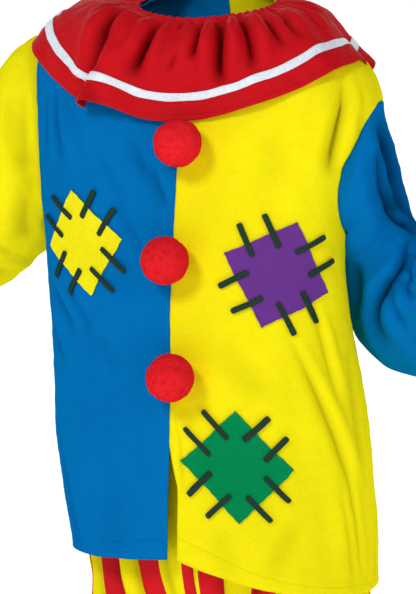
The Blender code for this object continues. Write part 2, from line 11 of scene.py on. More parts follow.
import bmesh
import bpy
import numpy as np
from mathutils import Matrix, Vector


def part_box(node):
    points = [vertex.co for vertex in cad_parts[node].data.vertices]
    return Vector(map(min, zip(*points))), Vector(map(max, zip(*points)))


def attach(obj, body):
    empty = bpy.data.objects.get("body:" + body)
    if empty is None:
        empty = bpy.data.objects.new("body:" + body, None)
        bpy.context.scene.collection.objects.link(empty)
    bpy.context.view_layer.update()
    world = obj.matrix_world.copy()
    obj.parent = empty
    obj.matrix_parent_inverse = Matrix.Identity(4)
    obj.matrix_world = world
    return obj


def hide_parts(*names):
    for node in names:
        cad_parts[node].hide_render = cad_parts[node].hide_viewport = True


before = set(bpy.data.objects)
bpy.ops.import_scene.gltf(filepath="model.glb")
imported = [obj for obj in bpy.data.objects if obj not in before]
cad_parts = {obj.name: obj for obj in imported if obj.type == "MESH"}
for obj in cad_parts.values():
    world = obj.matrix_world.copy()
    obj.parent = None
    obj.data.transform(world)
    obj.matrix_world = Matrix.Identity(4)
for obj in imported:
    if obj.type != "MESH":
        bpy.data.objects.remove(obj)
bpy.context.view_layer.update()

# ---- Sizes shared with the frame -------------------------------------------------------------

# Thicknesses, and the gaps that keep neighbouring pieces apart.
CLOTH, FELT, SATIN, CASING = 0.0015, 0.0012, 0.0008, 0.0020
SEAM_GAP, LAYER_GAP, COLLAR_CLEARANCE = 0.0003, 0.0004, 0.0045
# The bars lie across a patch's edges, their middles a little outside it, at shares of its side.
BAR_LENGTH, BAR_WIDTH, BAR_OUTWARD, BARS_AT = 0.037, 0.0052, 0.003, (0.33, 0.67)
WAISTBAND_HEIGHT = 0.028
# The ribbon covers these shares of the collar's length.
RIBBON_FROM, RIBBON_TO = 0.735, 0.815

FRONT, BACK = -math.pi / 2, math.pi / 2
LEFT, RIGHT = 0.0, math.pi


def in_metres(kind, lengths, rows):
    """The rows of a table whose first columns are lengths, written in millimetres."""
    return [kind(*(value / 1000 for value in row[:lengths]), *row[lengths:]) for row in rows]


# The tunic's rings, from the hem up to the neckline. The reaches are half sizes, square is how square
# a ring is (2 is round), and roll and pitch tilt it to the side and to the front.
Ring = namedtuple("Ring", "height middle right left front back square roll pitch")
TUNIC_RINGS = in_metres(Ring, 6, [
    (-584, 4, 151, 186, 138, 127, 2.2, 0.105, 0),
    (-564, 4, 153, 185, 137, 126, 2.2, 0.105, 0),
    (-512, 4, 164, 185, 134, 121, 2.2, 0.105, 0),
    (-457, 4, 173, 180, 130, 115, 2.2, 0.105, 0),
    (-402, 3, 176, 175, 125, 109, 2.2, 0.105, 0),
    (-347, 2, 177, 171, 120, 103, 2.2, 0.105, 0),
    (-297, 0, 178, 169, 115, 99, 2.3, 0.105, 0),
    (-242, 0, 183, 166, 108, 95, 2.4, 0.105, 0),
    (-205, 0, 187, 166, 103, 93, 2.5, 0.105, 0),
    (-160, 0, 191, 170, 97, 91, 2.6, 0.11, 0),
    (-120, 0, 194, 180, 91, 90, 2.6, 0.115, 0.02),
    (-85, 0, 196, 192, 86, 88, 2.5, 0.125, 0.04),
    (-56, 0, 195, 195, 82, 85, 2.4, 0.13, 0.07),
    (-30, 0, 184, 186, 78, 82, 2.3, 0.13, 0.11),
    (-10, 0, 163, 166, 75, 79, 2.2, 0.12, 0.15),
    (4, 0, 135, 137, 71, 75, 2.1, 0.1, 0.19),
    (14, 0, 104, 108, 67, 71, 2, 0.07, 0.23),
    (21, 0, 83, 83, 65, 68, 2, 0.04, 0.25),
    (24, 0, 75, 74, 64, 66, 2, 0.03, 0.25),
])
NECKLINE = len(TUNIC_RINGS) - 1

# Broad swells and hollows of the tunic. lean shifts one by degrees a metre of height.
Fold = namedtuple("Fold", "angle height wide tall out lean")
TUNIC_FOLDS = [
    Fold(36, -0.240, 31, 0.088, -0.039, 0),
    Fold(-38, -0.470, 9, 0.120, -0.005, -90),
    Fold(-60, -0.560, 12, 0.090, 0.004, 0),
    Fold(-128, -0.300, 11, 0.150, -0.003, 20),
    Fold(62, -0.500, 13, 0.140, -0.006, 25),
    Fold(122, -0.480, 13, 0.160, -0.006, -20),
    Fold(90, -0.120, 14, 0.080, -0.004, 0),
]

# The hem of each front rises towards the vent, which opens in the lowest part of the centre seam.
Corner = namedtuple("Corner", "rise width sharp")
HEM_CORNERS = {LEFT: Corner(0.028, 0.190, 1.8), RIGHT: Corner(0.024, 0.160, 1.2)}
VENT_TOP, VENT_TALL, VENT_WIDTH = -0.480, 0.060, 0.010

# half_angle is how far an armhole cuts into the front and the back, and droop how straight down the
# sleeve falls from its top (1) instead of standing out (0).
Armhole = namedtuple("Armhole", "top bottom half_angle droop")
ARMHOLES = {LEFT: Armhole(-0.054, -0.205, 27, 1.0), RIGHT: Armhole(-0.030, -0.235, 28, 0.25)}

# Sections of the sleeves, from the shoulder to the end: their centres and half sizes.
Section = namedtuple("Section", "x y z across deep")
LEFT_SLEEVE = in_metres(Section, 5, [
    (184, 55, -238, 44, 58),
    (199, 61, -269, 62, 62),
    (220, 62, -293, 79, 66),
    (256, 55, -302, 80, 66),
    (296, 36, -300, 71, 63),
    (339, 10, -290, 61, 58),
    (378, -16, -278, 54, 53),
    (408, -36, -269, 50, 50),
])
RIGHT_SLEEVE = in_metres(Section, 5, [
    (-237, 10, -165, 90, 64),
    (-273, 17, -190, 89, 65),
    (-307, 22, -222, 82, 66),
    (-347, 16, -247, 73, 65),
    (-390, 0, -261, 64, 61),
    (-431, -22, -263, 57, 56),
    (-467, -42, -258, 52, 52),
    (-490, -55, -253, 50, 50),
])
SLEEVES = {LEFT: LEFT_SLEEVE, RIGHT: RIGHT_SLEEVE}

# The collar's length from the neckline to its hem, at angles round the neck.
Reach = namedtuple("Reach", "angle length")
COLLAR_REACHES = [
    Reach(-180, 0.124),
    Reach(-134, 0.134),
    Reach(-119, 0.138),
    Reach(-104, 0.117),
    Reach(-88, 0.112),
    Reach(-45, 0.116),
    Reach(0, 0.116),
    Reach(45, 0.121),
    Reach(90, 0.122),
    Reach(135, 0.124),
    Reach(180, 0.124),
]

# Where the collar stands off the tunic: by out at its hem, from the share start of its length on,
# over a half width in degrees. swing turns it sideways, in degrees too.
Ripple = namedtuple("Ripple", "angle wide out swing start")
COLLAR_RIPPLES = [
    Ripple(-110, 7, 0.018, -5.0, 0.25),
    Ripple(-158, 10, 0.006, 0.0, 0.30),
    Ripple(-97, 9, 0.005, 0.0, 0.25),
    Ripple(-66, 8, 0.006, 0.0, 0.20),
    Ripple(-38, 10, 0.006, 0.0, 0.30),
    Ripple(-8, 9, 0.002, 0.0, 0.30),
    Ripple(22, 9, 0.007, 0.0, 0.30),
    Ripple(52, 9, 0.010, 2.0, 0.25),
    Ripple(84, 10, 0.012, 0.0, 0.25),
    Ripple(116, 9, 0.010, -2.0, 0.30),
    Ripple(146, 9, 0.013, 0.0, 0.25),
    Ripple(176, 9, 0.008, 0.0, 0.30),
]

# The middles of the patches on the tunic, their sides, and the degrees that they are turned.
Patch = namedtuple("Patch", "name height angle side turned")
PATCHES = [
    Patch("patch_yellow", -0.242, -125.3, 0.079, 56),
    Patch("patch_purple", -0.2475, -51, 0.084, 29),
    Patch("patch_green", -0.452, -66.5, 0.083, 46),
]

# The trousers' rings: the hips from the waist to the crotch, and each leg from there to its end.
HipRing = namedtuple("HipRing", "height middle right left front back")
HIP_RINGS = in_metres(HipRing, 6, [
    (-300, 0, 118, 120, 85, 78),
    (-345, 4, 132, 134, 96, 86),
    (-400, 10, 144, 144, 104, 92),
    (-470, 18, 149, 150, 109, 98),
    (-540, 22, 155, 155, 112, 102),
    (-610, 26, 157, 155, 113, 103),
    (-665, 28, 156, 155, 112, 102),
])
LegRing = namedtuple("LegRing", "height middle across deep")
LEFT_LEG = in_metres(LegRing, 4, [
    (-665, 106, 76.5, 100),
    (-720, 112, 76, 97),
    (-790, 121, 78, 93),
    (-860, 130, 78.5, 90),
    (-930, 138, 78, 87),
    (-985, 144, 76, 85),
])
RIGHT_LEG = in_metres(LegRing, 4, [
    (-665, -50, 76.5, 100),
    (-720, -54, 76, 97),
    (-790, -66, 78, 93),
    (-860, -78, 78.5, 90),
    (-930, -89, 78, 87),
    (-985, -97, 76, 85),
])
LEGS = {LEFT: LEFT_LEG, RIGHT: RIGHT_LEG}
# The legs begin to part this far above the crotch, and their inseams are this far from the middle.
CROTCH_RISE, INSEAM_GAP = 0.110, 0.0010

# ---- Creases ---------------------------------------------------------------------------------

# A crease runs from one place of its piece to another. turn is in degrees round the piece, and
# along is a height on the tunic, a share of the collar's length, a section number on a sleeve or
# a level on a trouser leg. bow swings its middle sideways in degrees. wide and to_wide are its half
# widths at the two ends and deep is how far it sinks (below 0 it stands out), all three written in
# tenths of a millimetre. peak is where it is deepest, halfway unless it says otherwise, and lean
# puts its raised lip on one side (1 or -1) instead of on both.
CREASE_COLUMNS = "turn along to_turn to_along bow wide to_wide deep peak lean"
Crease = namedtuple("Crease", CREASE_COLUMNS, defaults=(0.5, 0))


def creases(*rows):
    return [Crease(*row[:5], *(value / 10000 for value in row[5:8]), *row[8:]) for row in rows]


TUNIC_CREASES = creases(
    # The left shoulder, beside the sleeve.
    (-26, -0.012, -30, -0.145, -9, 65, 110, 100, 0.65),
    (-23, -0.012, -25, -0.115, -5, 60, 60, -20),
    (-25, -0.03, -29, -0.072, -2, 35, 40, 20),
    (-37, -0.02, -40, -0.125, -4, 90, 100, -25),
    (-62, -0.08, -54, -0.16, 0, 160, 200, 20),
    (-77, -0.125, -60, -0.215, 0, 100, 140, -14),
    # The left front, falling from the chest to the side.
    (-51, -0.29, -17, -0.48, 2, 45, 90, 70, 0.6, -1),
    (-38, -0.262, -23, -0.385, 1, 45, 70, 42, 0.5, -1),
    (-21, -0.43, -13, -0.59, 0, 50, 60, 32, 0.4, -1),
    (-27, -0.45, -17, -0.59, 0, 40, 60, 22, 0.6, -1),
    (-76, -0.32, -56, -0.385, 2, 170, 200, 24),
    (-44, -0.49, -58, -0.57, 0, 110, 160, 24),
    (-74, -0.5, -68, -0.58, 0, 140, 170, 18),
    (-89, -0.395, -85, -0.49, 1, 30, 30, 22, 0.6),
    (-12, -0.3, -6, -0.48, -2, 90, 100, 34),
    # The right shoulder and chest.
    (-138, -0.06, -132.5, -0.17, 0, 45, 60, 32),
    (-142, -0.07, -143.5, -0.165, 0, 50, 60, 24),
    (-134, -0.08, -127, -0.165, 0, 60, 80, -34),
    (-109, -0.105, -94, -0.205, 1, 60, 70, 32, 0.6),
    (-99, -0.135, -91.5, -0.195, -1, 45, 50, 40, 0.6),
    (-115, -0.18, -99, -0.247, 0, 60, 70, 24),
    (-120, -0.13, -104, -0.215, 1, 60, 80, 14),
    # The right side, by the elbow's height and below.
    (-153, -0.284, -130, -0.35, 2, 55, 80, 45, 0.4),
    (-141, -0.28, -121, -0.348, 2, 60, 80, 26),
    (-160, -0.325, -138, -0.385, 0, 60, 80, 32, 0.4),
    (-122, -0.33, -108, -0.372, 0, 90, 100, 14),
    (-150, -0.43, -140, -0.59, 0, 120, 140, 30, 0.6),
    (-112, -0.45, -116, -0.59, 0, 150, 170, 14, 0.6),
    # The right side seam and the back of the right sleeve.
    (178, -0.245, 170, -0.4, 2, 80, 100, 46, 0.4),
    (-172, -0.25, -166, -0.36, 0, 60, 80, 36, 0.4),
    (163, -0.26, 152, -0.42, 3, 70, 90, 34, 0.4),
    # The back: down from the shoulders, across the waist and falling to the hem.
    (148, -0.06, 140, -0.185, 3, 60, 80, 42),
    (138, -0.075, 124, -0.2, 0, 80, 100, 26),
    (34, -0.06, 42, -0.19, -3, 60, 80, 40),
    (46, -0.08, 60, -0.215, 0, 90, 100, 26),
    (150, -0.27, 118, -0.345, 3, 70, 100, 46, 0.4, 1),
    (143, -0.31, 108, -0.372, 2, 80, 110, 36, 0.4, 1),
    (100, -0.3, 76, -0.335, -3, 100, 120, 20),
    (20, -0.33, 62, -0.4, 3, 70, 110, 44, 0.4, -1),
    (12, -0.37, 48, -0.455, 2, 80, 100, 36, 0.5, -1),
    (122, -0.4, 128, -0.59, 2, 110, 150, 40, 0.6),
    (104, -0.43, 101, -0.59, 0, 120, 140, 30, 0.7),
    (72, -0.42, 66, -0.59, -2, 100, 150, 42, 0.6),
    (40, -0.45, 34, -0.59, 0, 100, 120, 34, 0.6),
    (12, -0.44, 8, -0.59, 0, 90, 120, 36, 0.6),
    (152, -0.46, 158, -0.59, 0, 100, 120, 30, 0.6),
)
COLLAR_CREASES = creases(
    # The deep folds across the front, from the wearer's right to left.
    (-176, 0.08, -127, 0.46, 8, 35, 50, 45),
    (-143, 0.04, -119, 0.88, 13, 65, 140, 200, 0.45),
    (-104.5, 0.02, -105.5, 0.74, 3, 58, 110, 170, 0.4),
    (-77.5, 0, -86, 0.48, -1, 55, 95, 140, 0.4),
    (-65.5, 0, -75.5, 0.8, -5, 66, 100, 185, 0.4),
    (-51.5, 0.02, -66.5, 0.76, -3, 54, 95, 150, 0.4),
    (-33, 0.02, -50, 0.68, -4, 50, 85, 130, 0.4),
    (-17, 0.02, -38, 0.66, -6, 50, 85, 120, 0.4),
    # Short tucks between them.
    (-117.5, 0.03, -116, 0.2, 0, 25, 30, 60),
    (-101, 0.03, -100, 0.19, 0, 22, 30, 50),
    (-91, 0.02, -92, 0.17, 0, 28, 35, 55),
    (-84.5, 0.02, -86, 0.12, 0, 22, 25, 35),
    (-71.5, 0.02, -73, 0.12, 0, 22, 25, 35),
    (-59, 0.02, -60, 0.14, 0, 25, 30, 50),
    (-43, 0.02, -46, 0.15, 0, 22, 28, 45),
    (-27, 0.02, -32, 0.15, 0, 22, 28, 45),
    (-90.5, 0.36, -93, 0.56, 0, 30, 45, 35),
    (-112, 0.74, -108, 1.04, 1, 60, 80, 40, 0.7),
    # The round ridges beside the folds.
    (-126, 0.06, -117.5, 0.72, 3, 45, 100, -45, 0.4),
    (-97.5, 0.06, -97.5, 0.56, 0, 35, 90, -35, 0.4),
    (-82, 0.04, -90, 0.5, 0, 35, 70, -30, 0.4),
    (-70.5, 0.04, -80, 0.44, -3, 30, 60, -35, 0.4),
    (-57.5, 0.04, -70, 0.6, -3, 35, 70, -40, 0.4),
    (-44.5, 0.04, -60, 0.64, -4, 35, 90, -45, 0.4),
    # Round the shoulders and the back.
    (4, 0.04, -16, 0.66, -5, 30, 60, 85, 0.35),
    (22, 0.04, 10, 0.52, -2, 35, 55, 70, 0.4),
    (39, 0.04, 34, 0.7, 0, 35, 60, 90, 0.35),
    (55, 0.04, 60, 0.46, 0, 30, 50, 70, 0.4),
    (70, 0.02, 70, 0.72, 2, 40, 60, 100, 0.35),
    (84, 0.02, 88, 0.44, 0, 30, 45, 70, 0.4),
    (98, 0.02, 99, 0.68, -2, 40, 60, 100, 0.35),
    (111, 0.04, 108, 0.4, 0, 30, 45, 65, 0.4),
    (126, 0.04, 131, 0.7, 2, 35, 60, 95, 0.35),
    (142, 0.04, 150, 0.5, 0, 30, 50, 70, 0.4),
    (160, 0.04, 172, 0.66, 4, 35, 55, 85, 0.35),
)
# The ridges there are all of one shape.
for ridge_turn, to_turn, end, bow in (
    (14, 0, 0.56, -2),
    (47, 46, 0.6, 0),
    (78, 80, 0.58, 0),
    (105, 104, 0.6, 0),
    (134, 140, 0.6, 0),
    (151, 160, 0.56, 0),
):
    COLLAR_CREASES += creases((ridge_turn, 0.04, to_turn, end, bow, 35, 80, -35, 0.4))
SLEEVE_CREASES = {
    LEFT: creases(
        # The outer arm, and the fold where the forearm bends away.
        (50, -0.84, 62, -0.14, -17, 110, 170, 200, 0.6),
        (26, -0.34, 86, 0.03, -2, 42, 70, 120, 0.55),
        (34, -0.92, 28, -0.32, -13, 60, 80, 30, 0.6),
        (62, -0.06, -10, 0.9, -4, 80, 90, -40),
        (66, 0.02, -44, 2.3, -13, 55, 120, 175, 0.52),
        (38, 0.34, -36, 2.3, 0, 60, 90, -40),
        (41, 0.65, 8, 3.1, -8, 42, 70, 90, 0.45),
        (17, 0.95, -20, 2.8, 0, 45, 60, 60),
        (66, 0.5, 34, 3.4, -6, 70, 80, -50),
        (88, 0.4, 60, 3.2, -4, 50, 80, 70),
        (88, -0.95, 96, 0.1, 0, 280, 300, 120, 0.4),
        # The side that lies against the body.
        (-60, -0.9, -68, 2.6, 0, 160, 160, -70, 0.15),
        (-30, -0.4, -44, 1.3, 0, 100, 120, 40, 0.6),
        (-20, 2.6, -50, 4.8, 0, 60, 80, 40),
        (20, 3.6, -10, 6.2, 0, 70, 80, 34),
        # The inner and the back of the arm.
        (-96, -0.6, -118, 0.6, 0, 60, 70, 50),
        (-90, 0.9, -150, 2.6, 0, 60, 80, 80, 0.4),
        (-120, 0.4, -190, 1.6, 0, 60, 80, 80, 0.4),
        (-140, -0.2, -210, 0.4, 0, 60, 80, 60, 0.4),
        (140, -0.9, 156, -0.2, 0, 60, 80, 40),
        (112, -0.94, 108, -0.3, 0, 60, 80, 30, 0.6),
        (120, 0.6, 160, 3, 0, 60, 90, 60),
        (150, 3.2, 120, 5.6, 0, 60, 90, 40),
        (80, 4.2, 100, 6.4, 0, 70, 90, 34),
    ),
    RIGHT: creases(
        # From the shoulder seam down the front of the sleeve.
        (36, -0.86, -22, -0.66, 0, 120, 170, 45, 0.65),
        (-2, -0.66, -44, -0.78, 0, 160, 160, 30, 0.4),
        (46, -0.94, -14, -0.94, 0, 50, 60, -24, 0.6),
        (43, -0.7, -6, -0.42, 0, 80, 100, 24),
        (-24, -0.8, -62, 0.4, 0, 130, 170, 50),
        (70, -0.6, 34, 0.8, 0, 90, 120, 26),
        # The elbow, on the outside of the bend and inside it.
        (-70, 0.8, 10, 1.6, 0, 70, 100, 30, 0.35),
        (-80, 1.6, 6, 2.4, 4, 70, 100, 40, 0.35),
        (-76, 2.5, 20, 3, 0, 60, 90, 50, 0.35),
        (40, 0.9, 60, 3.2, 0, 80, 100, 34),
        (-20, 3.4, -50, 5.4, 0, 60, 80, 40),
        (30, 4, 60, 6.2, 0, 70, 80, 34),
        # The back of the arm.
        (132, -0.92, 150, -0.3, 0, 60, 80, 40, 0.6),
        (112, -0.94, 104, -0.2, 0, 70, 80, 30, 0.6),
        (-100, -0.3, -150, 0.8, 0, 60, 80, 60, 0.4),
        (-96, 1.2, -184, 2.2, 0, 60, 90, 80, 0.35),
        (-98, 2.2, -190, 3, 0, 60, 90, 70, 0.35),
        (160, -0.2, 140, 1.6, 0, 70, 90, 40),
        (120, 2.6, 150, 5.2, 0, 60, 90, 40),
    ),
}
# The gathers of the trousers fall from the waist to a level called end, on the left and right leg.
PLEAT_TOP = 0.05
Pleat = namedtuple("Pleat", "left left_to right right_to end bow wide to_wide deep peak")
LEG_PLEATS = [
    Pleat(8, 14, 10, 15, 2.2, 0, 70, 90, 60, 0.55),
    Pleat(24, 24, 27, 30, 1.9, 3, 60, 90, 65, 0.6),
    Pleat(39, 35, 41, 40, 2.6, 0, 70, 100, 50, 0.45),
    Pleat(52, 50, 56, 57, 2.1, 0, 60, 90, 65, 0.6),
    Pleat(68, 63, 72, 70, 2.7, 2, 70, 110, 50, 0.45),
    Pleat(84, 82, 90, 88, 2.2, 0, 70, 90, 60, 0.55),
    Pleat(100, 98, 105, 109, 2.7, 0, 70, 110, 50, 0.45),
    Pleat(117, 120, 123, 121, 2.2, 0, 70, 90, 60, 0.55),
    Pleat(135, 138, 139, 143, 2.6, 0, 70, 110, 50, 0.45),
    Pleat(152, 150, 156, 158, 2.1, 0, 70, 90, 60, 0.55),
    Pleat(168, 163, 170, 168, 2.5, 0, 70, 100, 50, 0.5),
]
LEG_CREASES = {LEFT: [], RIGHT: []}
for row in LEG_PLEATS:
    shape = row.wide, row.to_wide, row.deep, row.peak
    LEG_CREASES[LEFT] += creases((row.left, PLEAT_TOP, row.left_to, row.end, row.bow, *shape))
    LEG_CREASES[RIGHT] += creases((row.right, PLEAT_TOP, row.right_to, row.end, 0, *shape))

# ---- Reading the tables ----------------------------------------------------------------------


def columns(table):
    """A table's columns by name, as arrays."""
    return {name: np.array(column, float) for name, column in zip(table[0]._fields, zip(*table))}


def spline(values, at):
    """The values at fractional rows, on a smooth curve through every row."""
    low = np.clip(np.asarray(at, float).astype(int), 0, len(values) - 2)
    t = at - low
    before, here = values[np.maximum(low - 1, 0)], values[low]
    there, after = values[low + 1], values[np.minimum(low + 2, len(values) - 1)]
    bend = 2 * before - 5 * here + 4 * there - after
    twist = 3 * here - before - 3 * there + after
    return here + 0.5 * t * (there - before + t * (bend + t * twist))


def rows_at(table, at):
    """Every column of a table, read at fractional rows."""
    return {name: spline(values, at) for name, values in table.items()}


def row_of_height(table, height):
    """The fractional row numbers at which a table reaches heights."""
    at = np.linspace(0, len(table["height"]) - 1, 2000)
    reached = spline(table["height"], at)
    order = np.argsort(reached)
    return np.interp(height, reached[order], at[order])


def bump(distance):
    """1 at 0, falling smoothly to almost nothing at 2."""
    return np.exp(-distance * distance)


def smooth(share):
    """0 below 0, 1 above 1, and an even slope between."""
    share = np.clip(share, 0, 1)
    return share * share * (3 - 2 * share)


def unit(vectors):
    return vectors / np.maximum(np.linalg.norm(vectors, axis=-1, keepdims=True), 1e-12)


def turn_between(angle, other):
    """The signed difference of two angles in degrees, from -180 to 180."""
    return (angle - other + 180) % 360 - 180


TUNIC = columns(TUNIC_RINGS)
HIPS = columns(HIP_RINGS)

# ---- The tunic's form ------------------------------------------------------------------------


def tunic_base(at, angle):
    """Points on the inner face of the tunic's cloth: at is a row number, angle goes round it."""
    ring = rows_at(TUNIC, at)
    cosine, sine = np.cos(angle), np.sin(angle)
    square = ring["square"]
    reach = (np.abs(cosine) ** square + np.abs(sine) ** square) ** (-1 / square)
    depth = 0.0
    for fold in TUNIC_FOLDS:
        rise = ring["height"] - fold.height
        turn = turn_between(np.degrees(angle), fold.angle + fold.lean * rise)
        depth = depth + fold.out * bump(turn / fold.wide) * bump(rise / fold.tall)
    x = cosine * reach * np.where(cosine > 0, ring["left"], ring["right"])
    y = sine * reach * np.where(sine > 0, ring["back"], ring["front"])
    x = x + ring["middle"] + depth * cosine
    y = y + depth * sine
    return np.stack([x, y, ring["height"] - ring["roll"] * x + ring["pitch"] * y], -1)


def tunic_normal(at, angle):
    """The outward direction of the tunic's form."""
    step_row, step_angle = 0.02, 0.004
    high, low = np.minimum(at + step_row, NECKLINE), np.maximum(at - step_row, 0)
    up = tunic_base(high, angle) - tunic_base(low, angle)
    round_it = tunic_base(at, angle + step_angle) - tunic_base(at, angle - step_angle)
    return unit(np.cross(round_it, up))


def walk(at, angle, across, up):
    """The places reached from others by walking up the tunic, and then across it, in metres."""
    steps, step_row, step_angle = 6, 0.05, 0.02
    at, angle = at + 0 * up, angle + 0 * up
    for _ in range(steps):
        rise = tunic_base(at + step_row, angle) - tunic_base(at - step_row, angle)
        at = at + up / steps / (np.linalg.norm(rise, axis=-1) / (2 * step_row))
    for _ in range(steps):
        reach = tunic_base(at, angle + step_angle) - tunic_base(at, angle - step_angle)
        angle = angle + across / steps / (np.linalg.norm(reach, axis=-1) / (2 * step_angle))
    return at, angle


# ---- The sleeves' and the trousers' forms ----------------------------------------------------

ARMHOLE_ROUND = 0.75
SECTION_STEP = 0.05
# How far a sleeve's cap keeps its direction at both ends: a share of its length, and at least this.
CAP_HANDLE, CAP_HANDLE_LEAST = 0.30, 0.010


def armhole_place(side, turn):
    """Row number and angle from the side, at a turn round the armhole: 0 front, 90 degrees top."""
    hole = ARMHOLES[side]
    height = (hole.top + hole.bottom) / 2 + (hole.top - hole.bottom) / 2 * np.sin(turn)
    cut = math.radians(hole.half_angle) * np.abs(np.cos(turn)) ** ARMHOLE_ROUND
    return row_of_height(TUNIC, height), np.copysign(cut, np.cos(turn))


def sleeve_ring(side, at, turn):
    """Points round a sleeve's section, and the direction in which the sleeve runs there."""
    table = columns(SLEEVES[side])
    here = rows_at(table, at)
    last = len(SLEEVES[side]) - 1
    before = rows_at(table, np.maximum(at - SECTION_STEP, 0))
    after = rows_at(table, np.minimum(at + SECTION_STEP, last))
    along = unit(np.stack([after[k] - before[k] for k in "xyz"], -1))
    forward = np.broadcast_to(np.array([0.0, -1.0, 0.0]), along.shape)
    forward = unit(forward - along * np.sum(forward * along, -1, keepdims=True))
    outer = np.cross(forward, along) * (1 if side == LEFT else -1)
    centre = np.stack([here[k] for k in "xyz"], -1)
    front_back = forward * (here["deep"] * np.cos(turn))[..., None]
    return centre + front_back + outer * (here["across"] * np.sin(turn))[..., None], along


def armhole_start(side, turn):
    """Where a sleeve's cloth starts, just inside the armhole's edge, and the way that it sets off."""
    at, cut = armhole_place(side, turn)
    angle = side - cut if side == LEFT else side + cut
    edge = tunic_base(at, angle)
    middle = tunic_base(armhole_place(side, 0.0)[0], side)
    droop = (np.maximum(0, np.sin(turn)) ** 3 * ARMHOLES[side].droop)[..., None]
    inwards = unit(middle - edge)
    start = edge + inwards * (2 * SEAM_GAP + CLOTH * (1 - droop))
    return start, unit(tunic_normal(at, angle) * (1 - droop) + inwards * droop)


def sleeve_base(side, turn, along):
    """Points of a sleeve. along is -1 at the armhole, 0 at the first section and up to the last."""
    turn, along = np.broadcast_arrays(np.asarray(turn, float), np.asarray(along, float))
    ring, runs = sleeve_ring(side, np.maximum(along, 0), turn)
    start, sets_off = armhole_start(side, turn)
    reach = np.linalg.norm(ring - start, axis=-1)[..., None]
    handle = start + sets_off * np.maximum(CAP_HANDLE_LEAST, CAP_HANDLE * reach)
    other = ring - runs * CAP_HANDLE * reach
    t = np.clip(along + 1, 0, 1)[..., None]
    s = 1 - t
    cap = s**3 * start + 3 * s * s * t * handle + 3 * s * t * t * other + t**3 * ring
    return np.where(along[..., None] < 0, cap, ring)


def hip_point(side, at, turn):
    """Points round half of the hips. turn goes from the centre front, by the outside, to the back."""
    ring = rows_at(HIPS, at)
    sign = 1 if side == LEFT else -1
    reach = ring["left"] if side == LEFT else ring["right"]
    across, deep = np.sin(turn), np.cos(turn)
    y = -deep * np.where(deep > 0, ring["front"], ring["back"])
    x = ring["middle"] + sign * (reach * across + SEAM_GAP / 2)
    return np.stack([x, y, ring["height"] + 0 * x], -1)


def leg_point(side, at, turn):
    """Points round a leg below the crotch. turn starts at the inseam."""
    ring = rows_at(columns(LEGS[side]), at)
    sign = 1 if side == LEFT else -1
    x = ring["middle"] - sign * ring["across"] * np.cos(turn)
    return np.stack([x, -ring["deep"] * np.sin(turn), ring["height"] + 0 * x], -1)


def trouser_base(side, turn, level):
    """Points of a trouser leg. level is 0 at the waist, 1 where the rise begins, 2 at the crotch and
    3 at the hem. turn goes from the centre front or the inseam, by the outside, to the back."""
    turn, level = np.broadcast_arrays(np.asarray(turn, float), np.asarray(level, float))
    crotch = HIP_RINGS[-1].height
    rise_top = row_of_height(HIPS, crotch + CROTCH_RISE)
    last = len(HIP_RINGS) - 1
    share = np.sin(math.pi / 2 * np.clip(level - 1, 0, 1))
    closing = 1 - np.sqrt(np.maximum(0, 1 - share * share))
    at = np.where(level < 1, rise_top * level, rise_top + (last - rise_top) * share)
    outside = np.sin(turn)
    blend = (closing + (smooth(share) - closing) * outside)[..., None]
    hips = hip_point(side, at, turn)
    closed = leg_point(side, (len(LEGS[side]) - 1) * np.clip(level - 2, 0, 1), 2 * turn)
    points = hips + (closed - hips) * blend
    points[..., 0] += closing * (1 - outside) * INSEAM_GAP * (1 if side == LEFT else -1)
    points[..., 2] = hips[..., 2]
    return np.where(level[..., None] > 2, closed, points)


# ---- The collar's form -----------------------------------------------------------------------

# The tunic is measured downwards from the neckline, over this length, on a grid of this size.
COLLAR_LONGEST = 0.16
COLLAR_ROW_GRID, COLLAR_LENGTH_GRID, COLLAR_ANGLE_GRID = 121, 161, 720
COLLAR_PUFF = 0.007


def meridian_rows():
    """Row numbers reached at even lengths down the tunic from the neckline, at even angles."""
    angles = np.linspace(0, 2 * math.pi, COLLAR_ANGLE_GRID + 1)[:, None]
    rows = NECKLINE * (1 - np.linspace(0, 1, COLLAR_ROW_GRID) / 2)[None, :]
    points = tunic_base(rows, angles)
    steps = np.linalg.norm(np.diff(points, axis=1), axis=-1)
    lengths = np.concatenate([np.zeros((len(angles), 1)), np.cumsum(steps, 1)], 1)
    wanted = np.linspace(0, COLLAR_LONGEST, COLLAR_LENGTH_GRID)
    return np.array([np.interp(wanted, reached, rows[0]) for reached in lengths])


MERIDIAN_ROWS = meridian_rows()


def row_down(angle, length):
    """The row numbers at lengths down the tunic from the neckline."""
    a = (angle / (2 * math.pi) % 1) * COLLAR_ANGLE_GRID
    b = np.clip(length / COLLAR_LONGEST, 0, 1) * (COLLAR_LENGTH_GRID - 1)
    i = np.minimum(a.astype(int), COLLAR_ANGLE_GRID - 1)
    j = np.minimum(b.astype(int), COLLAR_LENGTH_GRID - 2)
    s, t = a - i, b - j
    near = MERIDIAN_ROWS[i, j] * (1 - t) + MERIDIAN_ROWS[i, j + 1] * t
    far = MERIDIAN_ROWS[i + 1, j] * (1 - t) + MERIDIAN_ROWS[i + 1, j + 1] * t
    return near * (1 - s) + far * s


def collar_reach(degrees):
    """The collar's length from neck to hem at angles, eased between the rows of its table."""
    degrees = turn_between(degrees, 0)
    table = columns(COLLAR_REACHES)
    i = np.clip(np.searchsorted(table["angle"], degrees, side="right") - 1, 0, len(COLLAR_REACHES) - 2)
    share = (degrees - table["angle"][i]) / (table["angle"][i + 1] - table["angle"][i])
    return table["length"][i] + (table["length"][i + 1] - table["length"][i]) * smooth(share)


